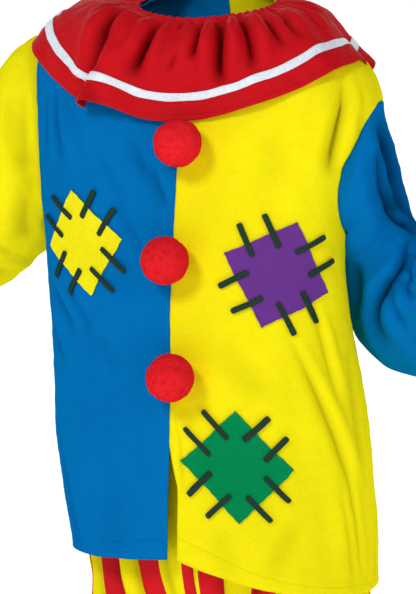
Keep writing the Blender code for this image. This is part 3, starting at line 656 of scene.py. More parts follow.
def collar_lift(angle, share):
    """How far the collar's inner face is from the tunic's, and how many degrees it is swung."""
    rise, swing = 0.0, 0.0
    for ripple in COLLAR_RIPPLES:
        near = bump(turn_between(np.degrees(angle), ripple.angle) / ripple.wide)
        grown = np.maximum(0, share - ripple.start) / (1 - ripple.start)
        rise = rise + ripple.out * near * grown**1.2
        swing = swing + ripple.swing * near * grown
    puff = COLLAR_PUFF * np.sin(math.pi * np.minimum(1, share * 1.25)) ** 2
    return CLOTH + COLLAR_CLEARANCE * np.minimum(1, 0.25 + 2 * share) + puff + rise, swing


def collar_base(angle, share):
    """Points of the collar's inner face; share is 0 at the neck and 1 at the hem."""
    angle, share = np.broadcast_arrays(np.asarray(angle, float), np.asarray(share, float))
    at = row_down(angle, share * collar_reach(np.degrees(angle)))
    lift, swing = collar_lift(angle, share)
    turned = angle + np.radians(swing)
    return tunic_base(at, turned) + tunic_normal(at, turned) * lift[..., None]


# ---- Creases laid into the forms -------------------------------------------------------------

# A crease's line is followed in this many points. To either side it has a lip, whose height is a
# share of the depth, and whose place and half width are in half widths of the crease.
LINE_STEPS = 28
LIP, LIP_AT, LIP_WIDE = 0.30, 1.8, 0.9
# The cloth is drawn towards the line by a share that grows with the crease's steepness.
PINCH, PINCH_MOST = 0.50, 0.80


def creased(points, normals, creases, place):
    """The points with every crease laid in: pushed in along its line, and drawn together there."""
    out = np.zeros(points.shape[:-1])
    drawn = np.zeros(points.shape)
    t = np.linspace(0, 1, LINE_STEPS)
    for crease in creases:
        turn = crease.turn + (crease.to_turn - crease.turn) * t + 4 * crease.bow * t * (1 - t)
        line = place(np.radians(turn), crease.along + (crease.to_along - crease.along) * t)
        reach = 4 * max(crease.wide, crease.to_wide)
        near = np.all((points > line.min(0) - reach) & (points < line.max(0) + reach), -1)
        if not near.any():
            continue
        steps = np.diff(line, axis=0)
        from_start = points[near][:, None] - line[:-1]
        along = np.clip(np.sum(from_start * steps, -1) / np.sum(steps * steps, -1), 0, 1)
        offset = from_start - along[..., None] * steps
        best = np.argmin(np.sum(offset * offset, -1), 1)
        pick = np.arange(len(best))
        offset, share = offset[pick, best], (best + along[pick, best]) / (LINE_STEPS - 1)
        distance = np.linalg.norm(offset, axis=-1)
        side = np.sign(np.sum(np.cross(steps[best], normals[near]) * offset, -1))
        wide = crease.wide + (crease.to_wide - crease.wide) * share
        x = side * distance / wide
        fade = smooth(1.2 * share / crease.peak) * smooth(1.4 * (1 - share) / (1 - crease.peak))
        lips = (1 + crease.lean) * bump((x - LIP_AT) / LIP_WIDE)
        lips = lips + (1 - crease.lean) * bump((x + LIP_AT) / LIP_WIDE)
        out[near] += crease.deep * fade * (LIP * lips - bump(x))
        pinch = np.clip(PINCH * crease.deep / wide, 0, PINCH_MOST) * fade * bump(x)
        drawn[near] -= offset * pinch[:, None]
    return out, drawn


RUMPLE_WAVES = 16


def rumple(points, size, depth, seed):
    """A slight unevenness everywhere, of that size and depth."""
    random = np.random.default_rng(seed)
    waves = random.normal(size=(RUMPLE_WAVES, 3)) * math.pi / size
    phases = random.uniform(0, 2 * math.pi, RUMPLE_WAVES)
    return depth * np.sin(points @ waves.T + phases).sum(-1) / math.sqrt(RUMPLE_WAVES / 2)


def grid_normals(points, closed=False):
    """Directions square to a grid of points."""
    if closed:
        across = np.roll(points, -1, 1) - np.roll(points, 1, 1)
    else:
        across = np.gradient(points, axis=1)
    return unit(np.cross(across, np.gradient(points, axis=0)))


def outward_normals(points, closed=False):
    """A grid's normals away from its middle, and whether they had to be turned round for that."""
    normals = grid_normals(points, closed)
    inside_out = np.sum(normals * (points - points.mean(1, keepdims=True))) < 0
    return (-normals if inside_out else normals), inside_out


def tunic_cloth(at, angle):
    """Points of the tunic's inner face with its creases, and how deep in them each point is."""
    at, angle = np.broadcast_arrays(np.asarray(at, float), np.asarray(angle, float))
    points, normals = tunic_base(at, angle), tunic_normal(at, angle)
    place = lambda turn, height: tunic_base(row_of_height(TUNIC, height), turn)
    out, drawn = creased(points, normals, TUNIC_CREASES, place)
    moved = out + rumple(points, 0.050, 0.0006, 1) + rumple(points, 0.017, 0.00018, 2)
    return points + drawn + normals * moved[..., None], -out


# ---- Meshes ----------------------------------------------------------------------------------

# A fold this deep has the full shade painted into its colour.
PAINTED_SHADE_DEPTH = 0.012


def linked(name, points, faces):
    """A new, smoothly shaded piece in the scene."""
    mesh = bpy.data.meshes.new(name)
    mesh.from_pydata(points, [], faces)
    mesh.shade_smooth()
    piece = bpy.data.objects.new(name, mesh)
    bpy.context.scene.collection.objects.link(piece)
    return piece


def shell(name, points, thick, closed=False, depth=None, u_start=0.0, flipped=False):
    """A shell of cloth outwards from a grid of points, which is flipped if it runs the other way
    round. Its UV map is the cloth in metres; depth, how deep in a fold each point is, sets painted shade."""
    if flipped:
        points, depth = points[:, ::-1], depth[:, ::-1]
    rows, sides = points.shape[:2]
    index = np.arange(rows * sides).reshape(rows, sides)
    lengths = np.linalg.norm(np.diff(points, axis=0), axis=-1).mean(1)
    v = np.concatenate([[0], np.cumsum(lengths)])
    ring = np.concatenate([points, points[:, :1]], 1) if closed else points
    if closed:
        index = np.concatenate([index, index[:, :1]], 1)
    u = np.concatenate([[0], np.cumsum(np.linalg.norm(np.diff(ring, axis=1), axis=-1).mean(0))])
    faces = np.stack([index[:-1, :-1], index[:-1, 1:], index[1:, 1:], index[1:, :-1]], -1)
    piece = linked(name, points.reshape(-1, 3).tolist(), faces.reshape(-1, 4).tolist())
    flat = np.stack(np.meshgrid(u + u_start, v), -1)
    corners = np.stack([flat[:-1, :-1], flat[:-1, 1:], flat[1:, 1:], flat[1:, :-1]], 2)
    piece.data.uv_layers.new(name="cloth").data.foreach_set("uv", corners.ravel())
    # Painted shade: a share from each point's depth in a fold, which darkens the colour there.
    if depth is not None:
        painted_shade = np.clip(depth / PAINTED_SHADE_DEPTH, 0, 1).astype(np.float32)
        folds = piece.data.attributes.new("fold", "FLOAT", "POINT")
        folds.data.foreach_set("value", painted_shade.ravel())
    solid = piece.modifiers.new("thickness", "SOLIDIFY")
    solid.thickness, solid.offset = thick, 1
    return piece


def place_piece(piece, node, finish):
    """Gives a piece its finish and has it stand for a CAD node."""
    piece.data.materials.append(finish)
    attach(piece, "root")
    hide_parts(node)
    return piece


# ---- Finishes --------------------------------------------------------------------------------

# Colours are linear red, green and blue.
YELLOW, BLUE, RED = (0.89, 0.78, 0.006), (0.001, 0.152, 0.445), (0.54, 0.006, 0.011)
STRIPE_RED, PILE_RED, WHITE = (0.62, 0.014, 0.020), (0.78, 0.016, 0.024), (0.74, 0.80, 0.87)
DARK = (0.020, 0.045, 0.030)
FELT_COLOURS = ((0.88, 0.79, 0.010), (0.135, 0.036, 0.250), (0.002, 0.230, 0.075))
# The width of a stripe, how far the stripes lean along a leg, and where on them each leg starts.
STRIPE, STRIPE_LEAN, STRIPE_STARTS = 0.031, -0.04, {LEFT: 0.012, RIGHT: 0.034}
# The spacing of the weave's threads, the ribbon's ribs and the stitches of a hem.
THREAD, RIB, STITCH, STITCH_WIDE = 0.0007, 0.0011, 0.0030, 0.0005
# The share of a stitch that shows, how deep it and the cloth beside it sink, and its darkening.
STITCH_SEWN, STITCH_DEEP, HEM_DEEP, STITCH_DARKER = 0.7, 0.0002, 0.00025, 0.10
SHEEN, SHEEN_ROUGH, BUMP_STRENGTH = 0.02, 0.35, 0.8
# Most of the noise lies in this range, which is spread over the range that is asked for.
NOISE_LOW, NOISE_HIGH = 0.32, 0.68
# Broad clouds of lighter and darker cloth, and slight lumps in it: their fineness and their range.
CLOUD_SCALE, CLOUD_LOW, CLOUD_HIGH = 11, 0.955, 1.03
LUMP_SCALE, LUMP_HIGH = 65, 0.0004
ROUGH_SPREAD = 0.05


def feed(tree, socket, value):
    """Links an input to another node's output, or sets its value."""
    if isinstance(value, bpy.types.NodeSocket):
        tree.links.new(value, socket)
    else:
        socket.default_value = value


def add(tree, kind, **inputs):
    """A new node of a kind, with its inputs set or linked by name."""
    made = tree.nodes.new("ShaderNode" + kind)
    for name, value in inputs.items():
        if name in ("operation", "data_type", "uv_map", "attribute_name"):
            setattr(made, name, value)
        else:
            feed(tree, made.inputs[name], value)
    return made


def maths(tree, operation, *values):
    made = add(tree, "Math", operation=operation)
    for socket, value in zip(made.inputs, values):
        feed(tree, socket, value)
    return made.outputs[0]


def mixed(tree, share, one, other):
    made = add(tree, "Mix", data_type="RGBA")
    for socket, value in zip((made.inputs[0], made.inputs[6], made.inputs[7]), (share, one, other)):
        feed(tree, socket, value)
    return made.outputs[2]


def noise(tree, place, scale, low, high, detail=3.0):
    """Noise with its middle spread between low and high."""
    made = add(tree, "TexNoise", Vector=place, Scale=scale, Detail=detail)
    spread = add(tree, "MapRange", Value=made.outputs[0])
    for socket, value in zip(spread.inputs[1:5], (NOISE_LOW, NOISE_HIGH, low, high)):
        socket.default_value = value
    return spread.outputs[0]


def plus(tree, one, other):
    return maths(tree, "ADD", one, other)


def times(tree, one, other):
    return maths(tree, "MULTIPLY", one, other)


def wave(tree, along, length):
    """A sine of that wave length."""
    return maths(tree, "SINE", times(tree, along, 2 * math.pi / length))


def sewn_hem(tree, u, v, hem):
    """The heights of a dashed line of stitches, hem away from the cloth's edge, and where it is."""
    off = maths(tree, "ABSOLUTE", maths(tree, "SUBTRACT", v, hem))
    line = maths(tree, "LESS_THAN", off, STITCH_WIDE)
    place_in_stitch = maths(tree, "FRACT", maths(tree, "DIVIDE", u, STITCH))
    sewn = times(tree, line, maths(tree, "LESS_THAN", place_in_stitch, STITCH_SEWN))
    beside = maths(tree, "MINIMUM", maths(tree, "DIVIDE", off, 6 * STITCH_WIDE), 1)
    pulled = times(tree, maths(tree, "SUBTRACT", beside, 1), HEM_DEEP)
    return plus(tree, pulled, times(tree, sewn, -STITCH_DEEP)), sewn


def fabric(
    name, colour, rough, grain, depth, painted_fold_shade=0.4, weave=0.0, hem=0.0, gloss=0.0, mottle=0.06, ribs=0.0,
    pattern=None,
):
    """A finish of cloth or felt. grain and depth are the size and height of its roughness, the painted
    fold shade is how much shade is painted into its folds, and weave and ribs are the heights of its
    threads and ribs."""
    finish = bpy.data.materials.new(name)
    finish.use_nodes = True
    tree = finish.node_tree
    place = add(tree, "TexCoord").outputs["Object"]
    flat = add(tree, "SeparateXYZ", Vector=add(tree, "UVMap", uv_map="cloth").outputs[0])
    u, v = flat.outputs[0], flat.outputs[1]
    base = pattern(tree, u, v) if pattern else (*colour, 1.0)
    fine = noise(tree, place, 1 / grain, 1 - mottle, 1 + mottle)
    value = times(tree, noise(tree, place, CLOUD_SCALE, CLOUD_LOW, CLOUD_HIGH), fine)
    # Painted shade: the colour is darkened deep in the folds, where the lights leave shade.
    fold = add(tree, "Attribute", attribute_name="fold").outputs["Fac"]
    value = times(tree, value, maths(tree, "MULTIPLY_ADD", fold, -painted_fold_shade, 1.0))
    height = times(tree, noise(tree, place, 1 / grain, 0, 1, 5.0), depth)
    height = plus(tree, height, noise(tree, place, LUMP_SCALE, 0, LUMP_HIGH, 2.0))
    if weave:
        crossing = times(tree, wave(tree, u, THREAD), wave(tree, v, THREAD))
        height = plus(tree, height, times(tree, crossing, weave))
    if hem:
        stitches, sewn = sewn_hem(tree, u, v, hem)
        height = plus(tree, height, stitches)
        darker = maths(tree, "SUBTRACT", 1, times(tree, sewn, STITCH_DARKER))
        value = times(tree, value, darker)
    if ribs:
        height = plus(tree, height, times(tree, wave(tree, v, RIB), ribs))
    varied = add(tree, "HueSaturation", Color=base, Value=value)
    raised = add(tree, "Bump", Height=height, Distance=1.0, Strength=BUMP_STRENGTH)
    surface = tree.nodes["Principled BSDF"]
    for socket, value in (
        ("Base Color", varied.outputs[0]),
        ("Normal", raised.outputs[0]),
        ("Roughness", noise(tree, place, 1 / grain, rough - ROUGH_SPREAD, rough + ROUGH_SPREAD)),
        ("Specular IOR Level", gloss),
        ("Sheen Weight", SHEEN),
        ("Sheen Roughness", SHEEN_ROUGH),
        ("Sheen Tint", (*colour, 1.0)),
    ):
        feed(tree, surface.inputs[socket], value)
    return finish


def stripes(tree, u, v):
    """Straight stripes of red on yellow, which lean a little on the leg."""
    leaning = maths(tree, "MULTIPLY_ADD", v, STRIPE_LEAN, u)
    leaning = maths(tree, "DIVIDE", leaning, 2 * STRIPE)
    red = maths(tree, "LESS_THAN", maths(tree, "FRACT", leaning), 0.5)
    return mixed(tree, red, (*YELLOW, 1.0), (*STRIPE_RED, 1.0))


COTTON = {"grain": 0.0011, "depth": 0.00005, "weave": 0.00003}
SATIN_CLOTH = {"grain": 0.0010, "depth": 0.00004, "weave": 0.00003}
FELTED = {"rough": 0.95, "grain": 0.0014, "depth": 0.00018}
# Each finish's fold shade is shade painted into its colour deep in the folds.
cotton_yellow = fabric("cotton_yellow", YELLOW, 0.66, painted_fold_shade=0.60, hem=0.014, **COTTON)
cotton_blue = fabric("cotton_blue", BLUE, 0.62, painted_fold_shade=0.70, hem=0.014, **COTTON)
collar_red = fabric("collar_red", RED, 0.48, painted_fold_shade=0.72, hem=0.007, gloss=0.03, **SATIN_CLOTH)
ribbon_white = fabric("ribbon_satin", WHITE, 0.30, 0.0030, 0.00004, painted_fold_shade=0.3, gloss=0.45, ribs=0.00006)
pile_red = fabric("pile_red", PILE_RED, 0.92, 0.0016, 0.00006, mottle=0.08)
striped = fabric("cotton_striped", YELLOW, 0.68, painted_fold_shade=0.5, hem=0.020, pattern=stripes, **COTTON)
felt_dark = fabric("felt_dark", DARK, mottle=0.16, **FELTED)

# ---- The tunic -------------------------------------------------------------------------------

SKIRT_ROWS, ARMHOLE_ROWS, YOKE_ROWS, FRONT_COLUMNS, BACK_COLUMNS = 140, 84, 34, 92, 60
# Columns stand closer at both edges by this share. Rows and the armhole's cut bend in with powers.
EDGE_CROWD, ROW_BEND, CUT_BEND = 0.3, 2, 1.5
# The cloth rolls in a little at each edge of a panel.
EDGE_ROLL, EDGE_WIDE = 0.0009, 0.0035


def body_panel(name, centre, side, columns_across):
    """A quarter of the tunic, from its centre seam round to its side seam."""
    towards = 1 if turn_between(math.degrees(side), math.degrees(centre)) > 0 else -1
    hole, hem = ARMHOLES[side], TUNIC_RINGS[0].height
    bottom, top = row_of_height(TUNIC, hole.bottom), row_of_height(TUNIC, hole.top)
    skirt = np.maximum(row_of_height(TUNIC, np.linspace(hem, hole.bottom, SKIRT_ROWS)[:-1]), 0)
    at_hole, cut = armhole_place(side, np.linspace(-math.pi / 2, math.pi / 2, ARMHOLE_ROWS))
    yoke = np.linspace(top, NECKLINE, YOKE_ROWS)[1:]
    at_side = np.concatenate([skirt, at_hole, yoke])[:, None]
    steps = np.linspace(hem, TUNIC_RINGS[NECKLINE].height, len(at_side))[:, None]
    at_centre = np.clip(row_of_height(TUNIC, steps), 0, NECKLINE)
    cut = np.concatenate([0 * skirt, np.abs(cut), 0 * yoke])[:, None]
    even = np.linspace(0, 1, columns_across)
    share = (even - EDGE_CROWD * np.sin(2 * math.pi * even) / (2 * math.pi))[None, :]
    at = at_centre + (at_side - at_centre) * share**ROW_BEND
    cut = cut * share**CUT_BEND
    shift, step = 0.0, 0.01
    nearby = tunic_base(at, centre + step) - tunic_base(at, centre - step)
    around = np.linalg.norm(nearby, axis=-1) / (2 * step)
    if centre == FRONT and side == LEFT:
        height = spline(TUNIC["height"], at)
        shift = VENT_WIDTH * smooth((VENT_TOP - height) / VENT_TALL) / around
    trim = SEAM_GAP / 2 / around
    first, last = shift + trim, math.pi / 2 - cut - trim
    angle = centre + towards * (first + share * (last - first))
    if centre == FRONT:
        corner = HEM_CORNERS[side]
        near = np.abs(tunic_base(0.0, angle)[..., 0] - TUNIC_RINGS[0].middle) / corner.width
        rise = corner.rise * np.maximum(0, 1 - near) ** corner.sharp
        at = at + row_of_height(TUNIC, TUNIC_RINGS[0].height + rise) * np.maximum(0, 1 - at / bottom)
    points, depth = tunic_cloth(at, angle)
    from_edge = np.minimum(share * (last - first), (1 - share) * (last - first)) * around
    points = points - tunic_normal(at, angle) * (EDGE_ROLL * bump(from_edge / EDGE_WIDE))[..., None]
    return shell(name, points, CLOTH, depth=depth, flipped=towards < 0)


def tunic():
    """Two fronts and two backs, the wearer's left yellow and right blue."""
    for centre, part, columns_across in ((FRONT, "front", FRONT_COLUMNS), (BACK, "back", BACK_COLUMNS)):
        for side, hand, finish, slot in (
            (LEFT, "left", cotton_yellow, "cloth_yellow"),
            (RIGHT, "right", cotton_blue, "cloth_blue"),
        ):
            name = f"tunic_{part}_{hand}"
            panel = body_panel(name + "_cloth", centre, side, columns_across)
            place_piece(panel, name, finish)


# ---- The sleeves -----------------------------------------------------------------------------

SLEEVE_SIDES, CAP_ROWS, ARM_ROWS = 144, 56, 84
SEAM_ALLOWANCE = 0.005
# The cloth inside the bend at the underarm lies in one smooth sweep. It is eased round this turn
# and section, over such half widths, in so many passes.
BEND_TURN, BEND_TURNS_WIDE, BEND_SECTION, BEND_LONG, BEND_EASE = -30, 70, 0.25, 1.1, 90
# A sleeve is crumpled most at one section. Its folds have grown in full this far from the armhole.
CRUMPLE_LEAST, CRUMPLE_MORE, CRUMPLE_SECTION, CRUMPLE_LONG = 0.4, 0.5, 1.5, 2
CAP_SETTLES = 0.22


def sleeve(hand, side, finish):
    """A sleeve from its end up to the armhole, and a seam allowance inside the armhole."""
    turn = np.linspace(0, 2 * math.pi, SLEEVE_SIDES, endpoint=False)[None, :]
    along = np.concatenate(
        [np.linspace(len(SLEEVES[side]) - 1, 0, ARM_ROWS), np.linspace(0, -1, CAP_ROWS)[1:]]
    )[:, None]
    points = sleeve_base(side, turn, along)
    bend = bump(turn_between(np.degrees(turn), BEND_TURN) / BEND_TURNS_WIDE)
    bend = bend * bump((along - BEND_SECTION) / BEND_LONG)
    for _ in range(BEND_EASE):
        level = (np.roll(points, 1, 1) + np.roll(points, -1, 1)) / 2
        upright = np.concatenate([points[:1], (points[:-2] + points[2:]) / 2, points[-1:]])
        points = points + bend[..., None] * ((level + upright) / 2 - points)
    normals, inside_out = outward_normals(points, closed=True)
    place = lambda at_turn, at_along: sleeve_base(side, at_turn, at_along)
    out, drawn = creased(points, normals, SLEEVE_CREASES[side], place)
    depth = -out
    crumple = CRUMPLE_LEAST + CRUMPLE_MORE * bump((along - CRUMPLE_SECTION) / CRUMPLE_LONG)
    out = out + rumple(points, 0.034, 0.0009, 5) * crumple + rumple(points, 0.015, 0.0002, 6)
    settled = smooth((along + 1) / CAP_SETTLES)
    points = points + (drawn + normals * out[..., None]) * settled[..., None]
    at, cut = armhole_place(side, turn)
    inwards = tunic_normal(at, side - cut if side == LEFT else side + cut) * SEAM_ALLOWANCE
    points = np.concatenate([points, points[-1:] - inwards])
    depth = np.concatenate([depth, depth[-1:]])
    name = f"sleeve_{hand}"
    piece = shell(name + "_cloth", points, CLOTH, closed=True, depth=depth, flipped=inside_out)
    place_piece(piece, name, finish)


# ---- The collar and its ribbon ---------------------------------------------------------------

COLLAR_SIDES, NECK_ROWS, RIBBON_ROWS, HEM_ROWS = 640, 42, 7, 12
# The collar is fuller over the wearer's right front, by out at most, and by a share elsewhere.
COLLAR_FULL, FULL_ANGLE, FULL_WIDE, FULL_ELSEWHERE = 0.0055, -95, 55, 0.3
# Its creases stay this far outside the tunic.
COLLAR_LEAST = 0.0014
# Narrow flutes of the hem: moved out, round the neck (swing) and up, from a share of the length on.
Flute = namedtuple("Flute", "angle wide out swing up start")
COLLAR_FLUTES = [
    Flute(-110, 4.2, 0.007, -0.012, 0.008, 0.25),
    Flute(-118, 6.5, 0.003, -0.010, 0.005, 0.60),
    Flute(13, 12, 0.003, 0.000, -0.020, 0.40),
    Flute(66, 4.6, 0.006, 0.012, 0.004, 0.30),
    Flute(128, 4.6, 0.006, -0.011, 0.004, 0.30),
]
# Small gathers round the neck. They stand out most at a share of the length, and up at the neck.
GATHERS, GATHER_OUT, GATHER_UP = 46, 0.0022, 0.0012
GATHER_AT, GATHER_LONG, GATHER_TOP = 0.04, 0.13, 0.05


def collar():
    """The gathered ruffle from its hem to the neck, and the ribbon sewn round it."""
    to_ribbon = np.linspace(0, RIBBON_FROM, NECK_ROWS)[:-1]
    across_ribbon = np.linspace(RIBBON_FROM, RIBBON_TO, RIBBON_ROWS)[:-1]
    to_hem = np.linspace(RIBBON_TO, 1, HEM_ROWS)
    shares = np.concatenate([to_ribbon, across_ribbon, to_hem])[::-1, None]
    angle = np.linspace(-math.pi, math.pi, COLLAR_SIDES, endpoint=False)[None, :]
    points = collar_base(angle, shares)
    normals = grid_normals(points, closed=True)
    out, drawn = creased(points, normals, COLLAR_CREASES, collar_base)
    depth = -out
    uneven = 0.9 * np.sin(3 * angle + 1) + 0.6 * np.sin(7 * angle)
    scallop = np.abs(np.cos(GATHERS * angle / 2 + uneven)) ** 0.8 - 0.6
    out = out + GATHER_OUT * scallop * bump((shares - GATHER_AT) / GATHER_LONG)
    out = out + rumple(points, 0.030, 0.0007, 8) * smooth(shares * 4) + rumple(points, 0.014, 0.0002, 9)
    lift = collar_lift(angle, shares)[0]
    front = bump(turn_between(np.degrees(angle), FULL_ANGLE) / FULL_WIDE)
    front = FULL_ELSEWHERE + (1 - FULL_ELSEWHERE) * front
    out = out + COLLAR_FULL * front * smooth(shares * 3) * smooth((1 - shares) * 2.2)
    out = np.maximum(out, CLOTH + COLLAR_LEAST - lift)
    around = unit(np.roll(points, -1, 1) - np.roll(points, 1, 1))
    points = points + drawn + normals * out[..., None]
    for flute in COLLAR_FLUTES:
        near = bump(turn_between(np.degrees(angle), flute.angle) / flute.wide)
        near = (near * smooth((shares - flute.start) / (1 - flute.start)))[..., None]
        points = points + near * (normals * flute.out + around * flute.swing)
        points[..., 2] += near[..., 0] * flute.up
    points[..., 2] += GATHER_UP * scallop * bump(shares / GATHER_TOP)
    ruffle = shell("collar_ruffle_cloth", points, CLOTH, closed=True, depth=depth)
    place_piece(ruffle, "collar_ruffle", collar_red)
    normals = grid_normals(points, closed=True)
    within = (shares[:, 0] > RIBBON_FROM - 1e-6) & (shares[:, 0] < RIBBON_TO + 1e-6)
    over = points[within] + normals[within] * (CLOTH + LAYER_GAP)
    ribbon = shell("collar_ribbon_satin", over, SATIN, closed=True)
    place_piece(ribbon, "collar_ribbon", ribbon_white)


# ---- Pompoms, patches and bars ---------------------------------------------------------------

# Each fibre is a thin spike, rooted below the core's surface and leaning by chance.
FIBRES, FIBRE_ROOT, FIBRE_HALF, FIBRE_STRAY = 6500, 0.0010, 0.00042, 0.12
FIBRE_SHORTEST, FIBRE_LONGEST = 0.0002, 0.0009
FIBRE_CORNERS = (0, 2.1, 4.2)
# The core's tufts: their size and depth, as shares of its radius.
TUFTS = ((0.55, 0.012), (0.22, 0.005), (0.055, 0.004))
CORE_SIZE, CORE_DETAIL, PADDING = 1.005, 6, 0.9


def pompom(node, seed):
    """A trimmed ball of pile: a tufted core, and short fibres all over it."""
    low, high = (np.array(corner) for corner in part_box(node))
    centre, radius = (low + high) / 2, (high[0] - low[0]) / 2
    ball = bmesh.new()
    bmesh.ops.create_icosphere(ball, subdivisions=CORE_DETAIL, radius=1)
    directions = np.array([vertex.co[:] for vertex in ball.verts])
    faces = [[vertex.index for vertex in face.verts] for face in ball.faces]
    ball.free()

    def reach(way):
        broad, middling, small = (rumple(way, *tuft, seed + k) for k, tuft in enumerate(TUFTS))
        return radius * (CORE_SIZE + (broad + middling) + small)

    random = np.random.default_rng(seed)
    way = unit(random.normal(size=(FIBRES, 3)))
    aside = unit(np.cross(way, random.normal(size=(FIBRES, 3))))
    other = np.cross(way, aside)
    root = way * (reach(way) - FIBRE_ROOT)[:, None]
    strayed = unit(way + FIBRE_STRAY * random.normal(size=way.shape))
    tip = strayed * (reach(way) + random.uniform(FIBRE_SHORTEST, FIBRE_LONGEST, FIBRES))[:, None]
    corners = [root + FIBRE_HALF * (aside * math.cos(k) + other * math.sin(k)) for k in FIBRE_CORNERS]
    fibres = np.stack(corners + [tip], 1).reshape(-1, 3)
    start = len(directions) + 4 * np.arange(FIBRES)
    sides = [np.stack([start + k, start + (k + 1) % 3, start + 3], -1) for k in range(3)]
    faces += np.concatenate(sides).tolist()
    points = np.concatenate([directions * reach(directions)[:, None], fibres]) + centre
    piece = linked(node + "_pile", points.tolist(), faces)
    place_piece(piece, node, pile_red)


def patch_place(row, across, up):
    """Places on the tunic, in the turned square's own directions, from its middle."""
    turned = math.radians(row.turned)
    right = across * math.cos(turned) - up * math.sin(turned)
    higher = across * math.sin(turned) + up * math.cos(turned)
    return walk(row_of_height(TUNIC, row.height), math.radians(row.angle), right, higher)


def felt_piece(name, row, across, up, lift):
    """A piece of felt on the tunic: across and up are in the patch's directions."""
    points = tunic_cloth(*patch_place(row, across, up))[0]
    return shell(name, points + grid_normals(points) * lift[..., None], FELT)


# The cells of the felt stand closer at its edges, by the sine of this angle.
PATCH_CELLS, PATCH_CROWD = 48, 1.25
# The cut edges waver: amplitude, and radians a metre. The rim stands up a little.
WAVERS = ((0.0004, 110), (0.0002, 520))
RIM_UP, RIM_FROM = 0.0006, 0.90
# Bars vary in place, lean, length and width, and have rounded ends.
BAR_CELLS, BAR_STRAY, BAR_LEAN, BAR_LONG, BAR_WIDE = (19, 5), 0.0006, 0.035, (0.95, 1.03), (1.08, 1.25)
BAR_ROUND, BAR_ROUND_POWER = 0.42, 24


def patch(row, colour, seed):
    """A square of felt with eight bars laid across its edges, as large stitches."""
    random = np.random.default_rng(seed)
    half, lift = row.side / 2, CLOTH + LAYER_GAP
    even = np.sin(np.linspace(-1, 1, PATCH_CELLS + 1) * PATCH_CROWD) / math.sin(PATCH_CROWD) * half
    across, up = np.meshgrid(even, even)
    a, b, c, d = random.uniform(0, 6, 4)
    (broad, slow), (fine, quick) = WAVERS
    across = across + (broad * np.sin(up * slow + a) + fine * np.sin(up * quick + b)) * across / half
    up = up + (broad * np.sin(across * slow + c) + fine * np.sin(across * quick + d)) * up / half
    rim = np.maximum(np.abs(across), np.abs(up)) / half
    raised = lift + RIM_UP * smooth((rim - RIM_FROM) / (1 - RIM_FROM))
    square = felt_piece(row.name + "_felt", row, across, up, raised)
    place_piece(square, row.name, fabric(row.name, colour, mottle=0.09, **FELTED))
    bars = []
    run, width = (np.linspace(-1, 1, cells) for cells in BAR_CELLS)
    run, width = np.meshgrid(np.sin(run * math.pi / 2), width)
    width = width * (1 - BAR_ROUND * np.abs(run) ** BAR_ROUND_POWER)
    for upright in (False, True):
        for edge in (-half, half):
            for share in BARS_AT:
                middle = -half + share * row.side + random.normal() * BAR_STRAY
                beyond = edge + math.copysign(BAR_OUTWARD, edge) + random.normal() * BAR_STRAY
                lean = random.normal() * BAR_LEAN
                length = BAR_LENGTH * random.uniform(*BAR_LONG)
                wide = BAR_WIDTH * random.uniform(*BAR_WIDE)
                along = run * length / 2
                beside = width * wide / 2 + along * lean
                x, y = (middle + beside, beyond + along) if upright else (beyond + along, middle + beside)
                if upright:
                    x, y = x[::-1], y[::-1]
                    x, y = x.T[:, ::-1], y.T[:, ::-1]
                name = f"{row.name}_bar_{len(bars) + 1}"
                bar = felt_piece(name + "_felt", row, x, y, lift + FELT + LAYER_GAP + 0 * x)
                place_piece(bar, name, felt_dark)
                bars.append(bar)


# ---- The trousers ----------------------------------------------------------------------------

LEG_SIDES, LEG_ROWS, RISE_ROWS, HIP_ROWS = 120, 62, 40, 20
WAIST_SIDES, WAIST_ROWS = 240, 15
# The casing's gathers, which are uneven, and the roll at its top and bottom edge.
WAIST_GATHERS, WAIST_UNEVEN, WAIST_GATHER_OUT, WAIST_ROLL = 34, 0.8, 0.0016, 0.0010


def trouser_leg(hand, side):
    """Half of the trousers, front and back in one, from the leg's end up to the waist."""
    turn = np.linspace(0, math.pi, LEG_SIDES)[None, :]
    below, rise = np.linspace(3, 2, LEG_ROWS)[:-1], np.linspace(2, 1, RISE_ROWS)[:-1]
    level = np.concatenate([below, rise, np.linspace(1, 0, HIP_ROWS)])[:, None]
    points = trouser_base(side, turn, level)
    normals, inside_out = outward_normals(points)
    place = lambda at_turn, at_level: trouser_base(side, at_turn, at_level)
    out, drawn = creased(points, normals, LEG_CREASES[side], place)
    depth = -out
    out = out + rumple(points, 0.045, 0.0008, 11 + round(side))
    away = np.sin(np.broadcast_to(turn, out.shape)) * 8
    kept = smooth(np.minimum(1, away)) * smooth(level * 6)
    points = points + (drawn + normals * out[..., None]) * kept[..., None]
    name, start = f"trousers_{hand}", STRIPE_STARTS[side]
    piece = shell(name + "_cloth", points, CLOTH, depth=depth, u_start=start, flipped=inside_out)
    place_piece(piece, name, striped)


def waistband():
    """The gathered casing round the top of both legs."""
    ring = HIP_RINGS[0]
    rise = np.linspace(SEAM_GAP * 2, WAISTBAND_HEIGHT, WAIST_ROWS)[:, None]
    turn = np.linspace(0, 2 * math.pi, WAIST_SIDES, endpoint=False)[None, :]
    share = rise / WAISTBAND_HEIGHT
    gathers = np.abs(np.sin(WAIST_GATHERS * turn + WAIST_UNEVEN * np.sin(5 * turn)))
    fullness = gathers * np.sin(math.pi * share) ** 0.5
    out = WAIST_GATHER_OUT * fullness + WAIST_ROLL * np.abs(np.sin(2 * math.pi * share))
    x = ring.middle + ((ring.left + ring.right) / 2 + out) * np.cos(turn)
    y = np.sin(turn) * (np.where(np.sin(turn) > 0, ring.back, ring.front) + out)
    points = np.stack([x, y, ring.height + rise + 0 * x], -1)
    band = shell("trousers_waistband_cloth", points, CASING, closed=True)
    place_piece(band, "trousers_waistband", striped)


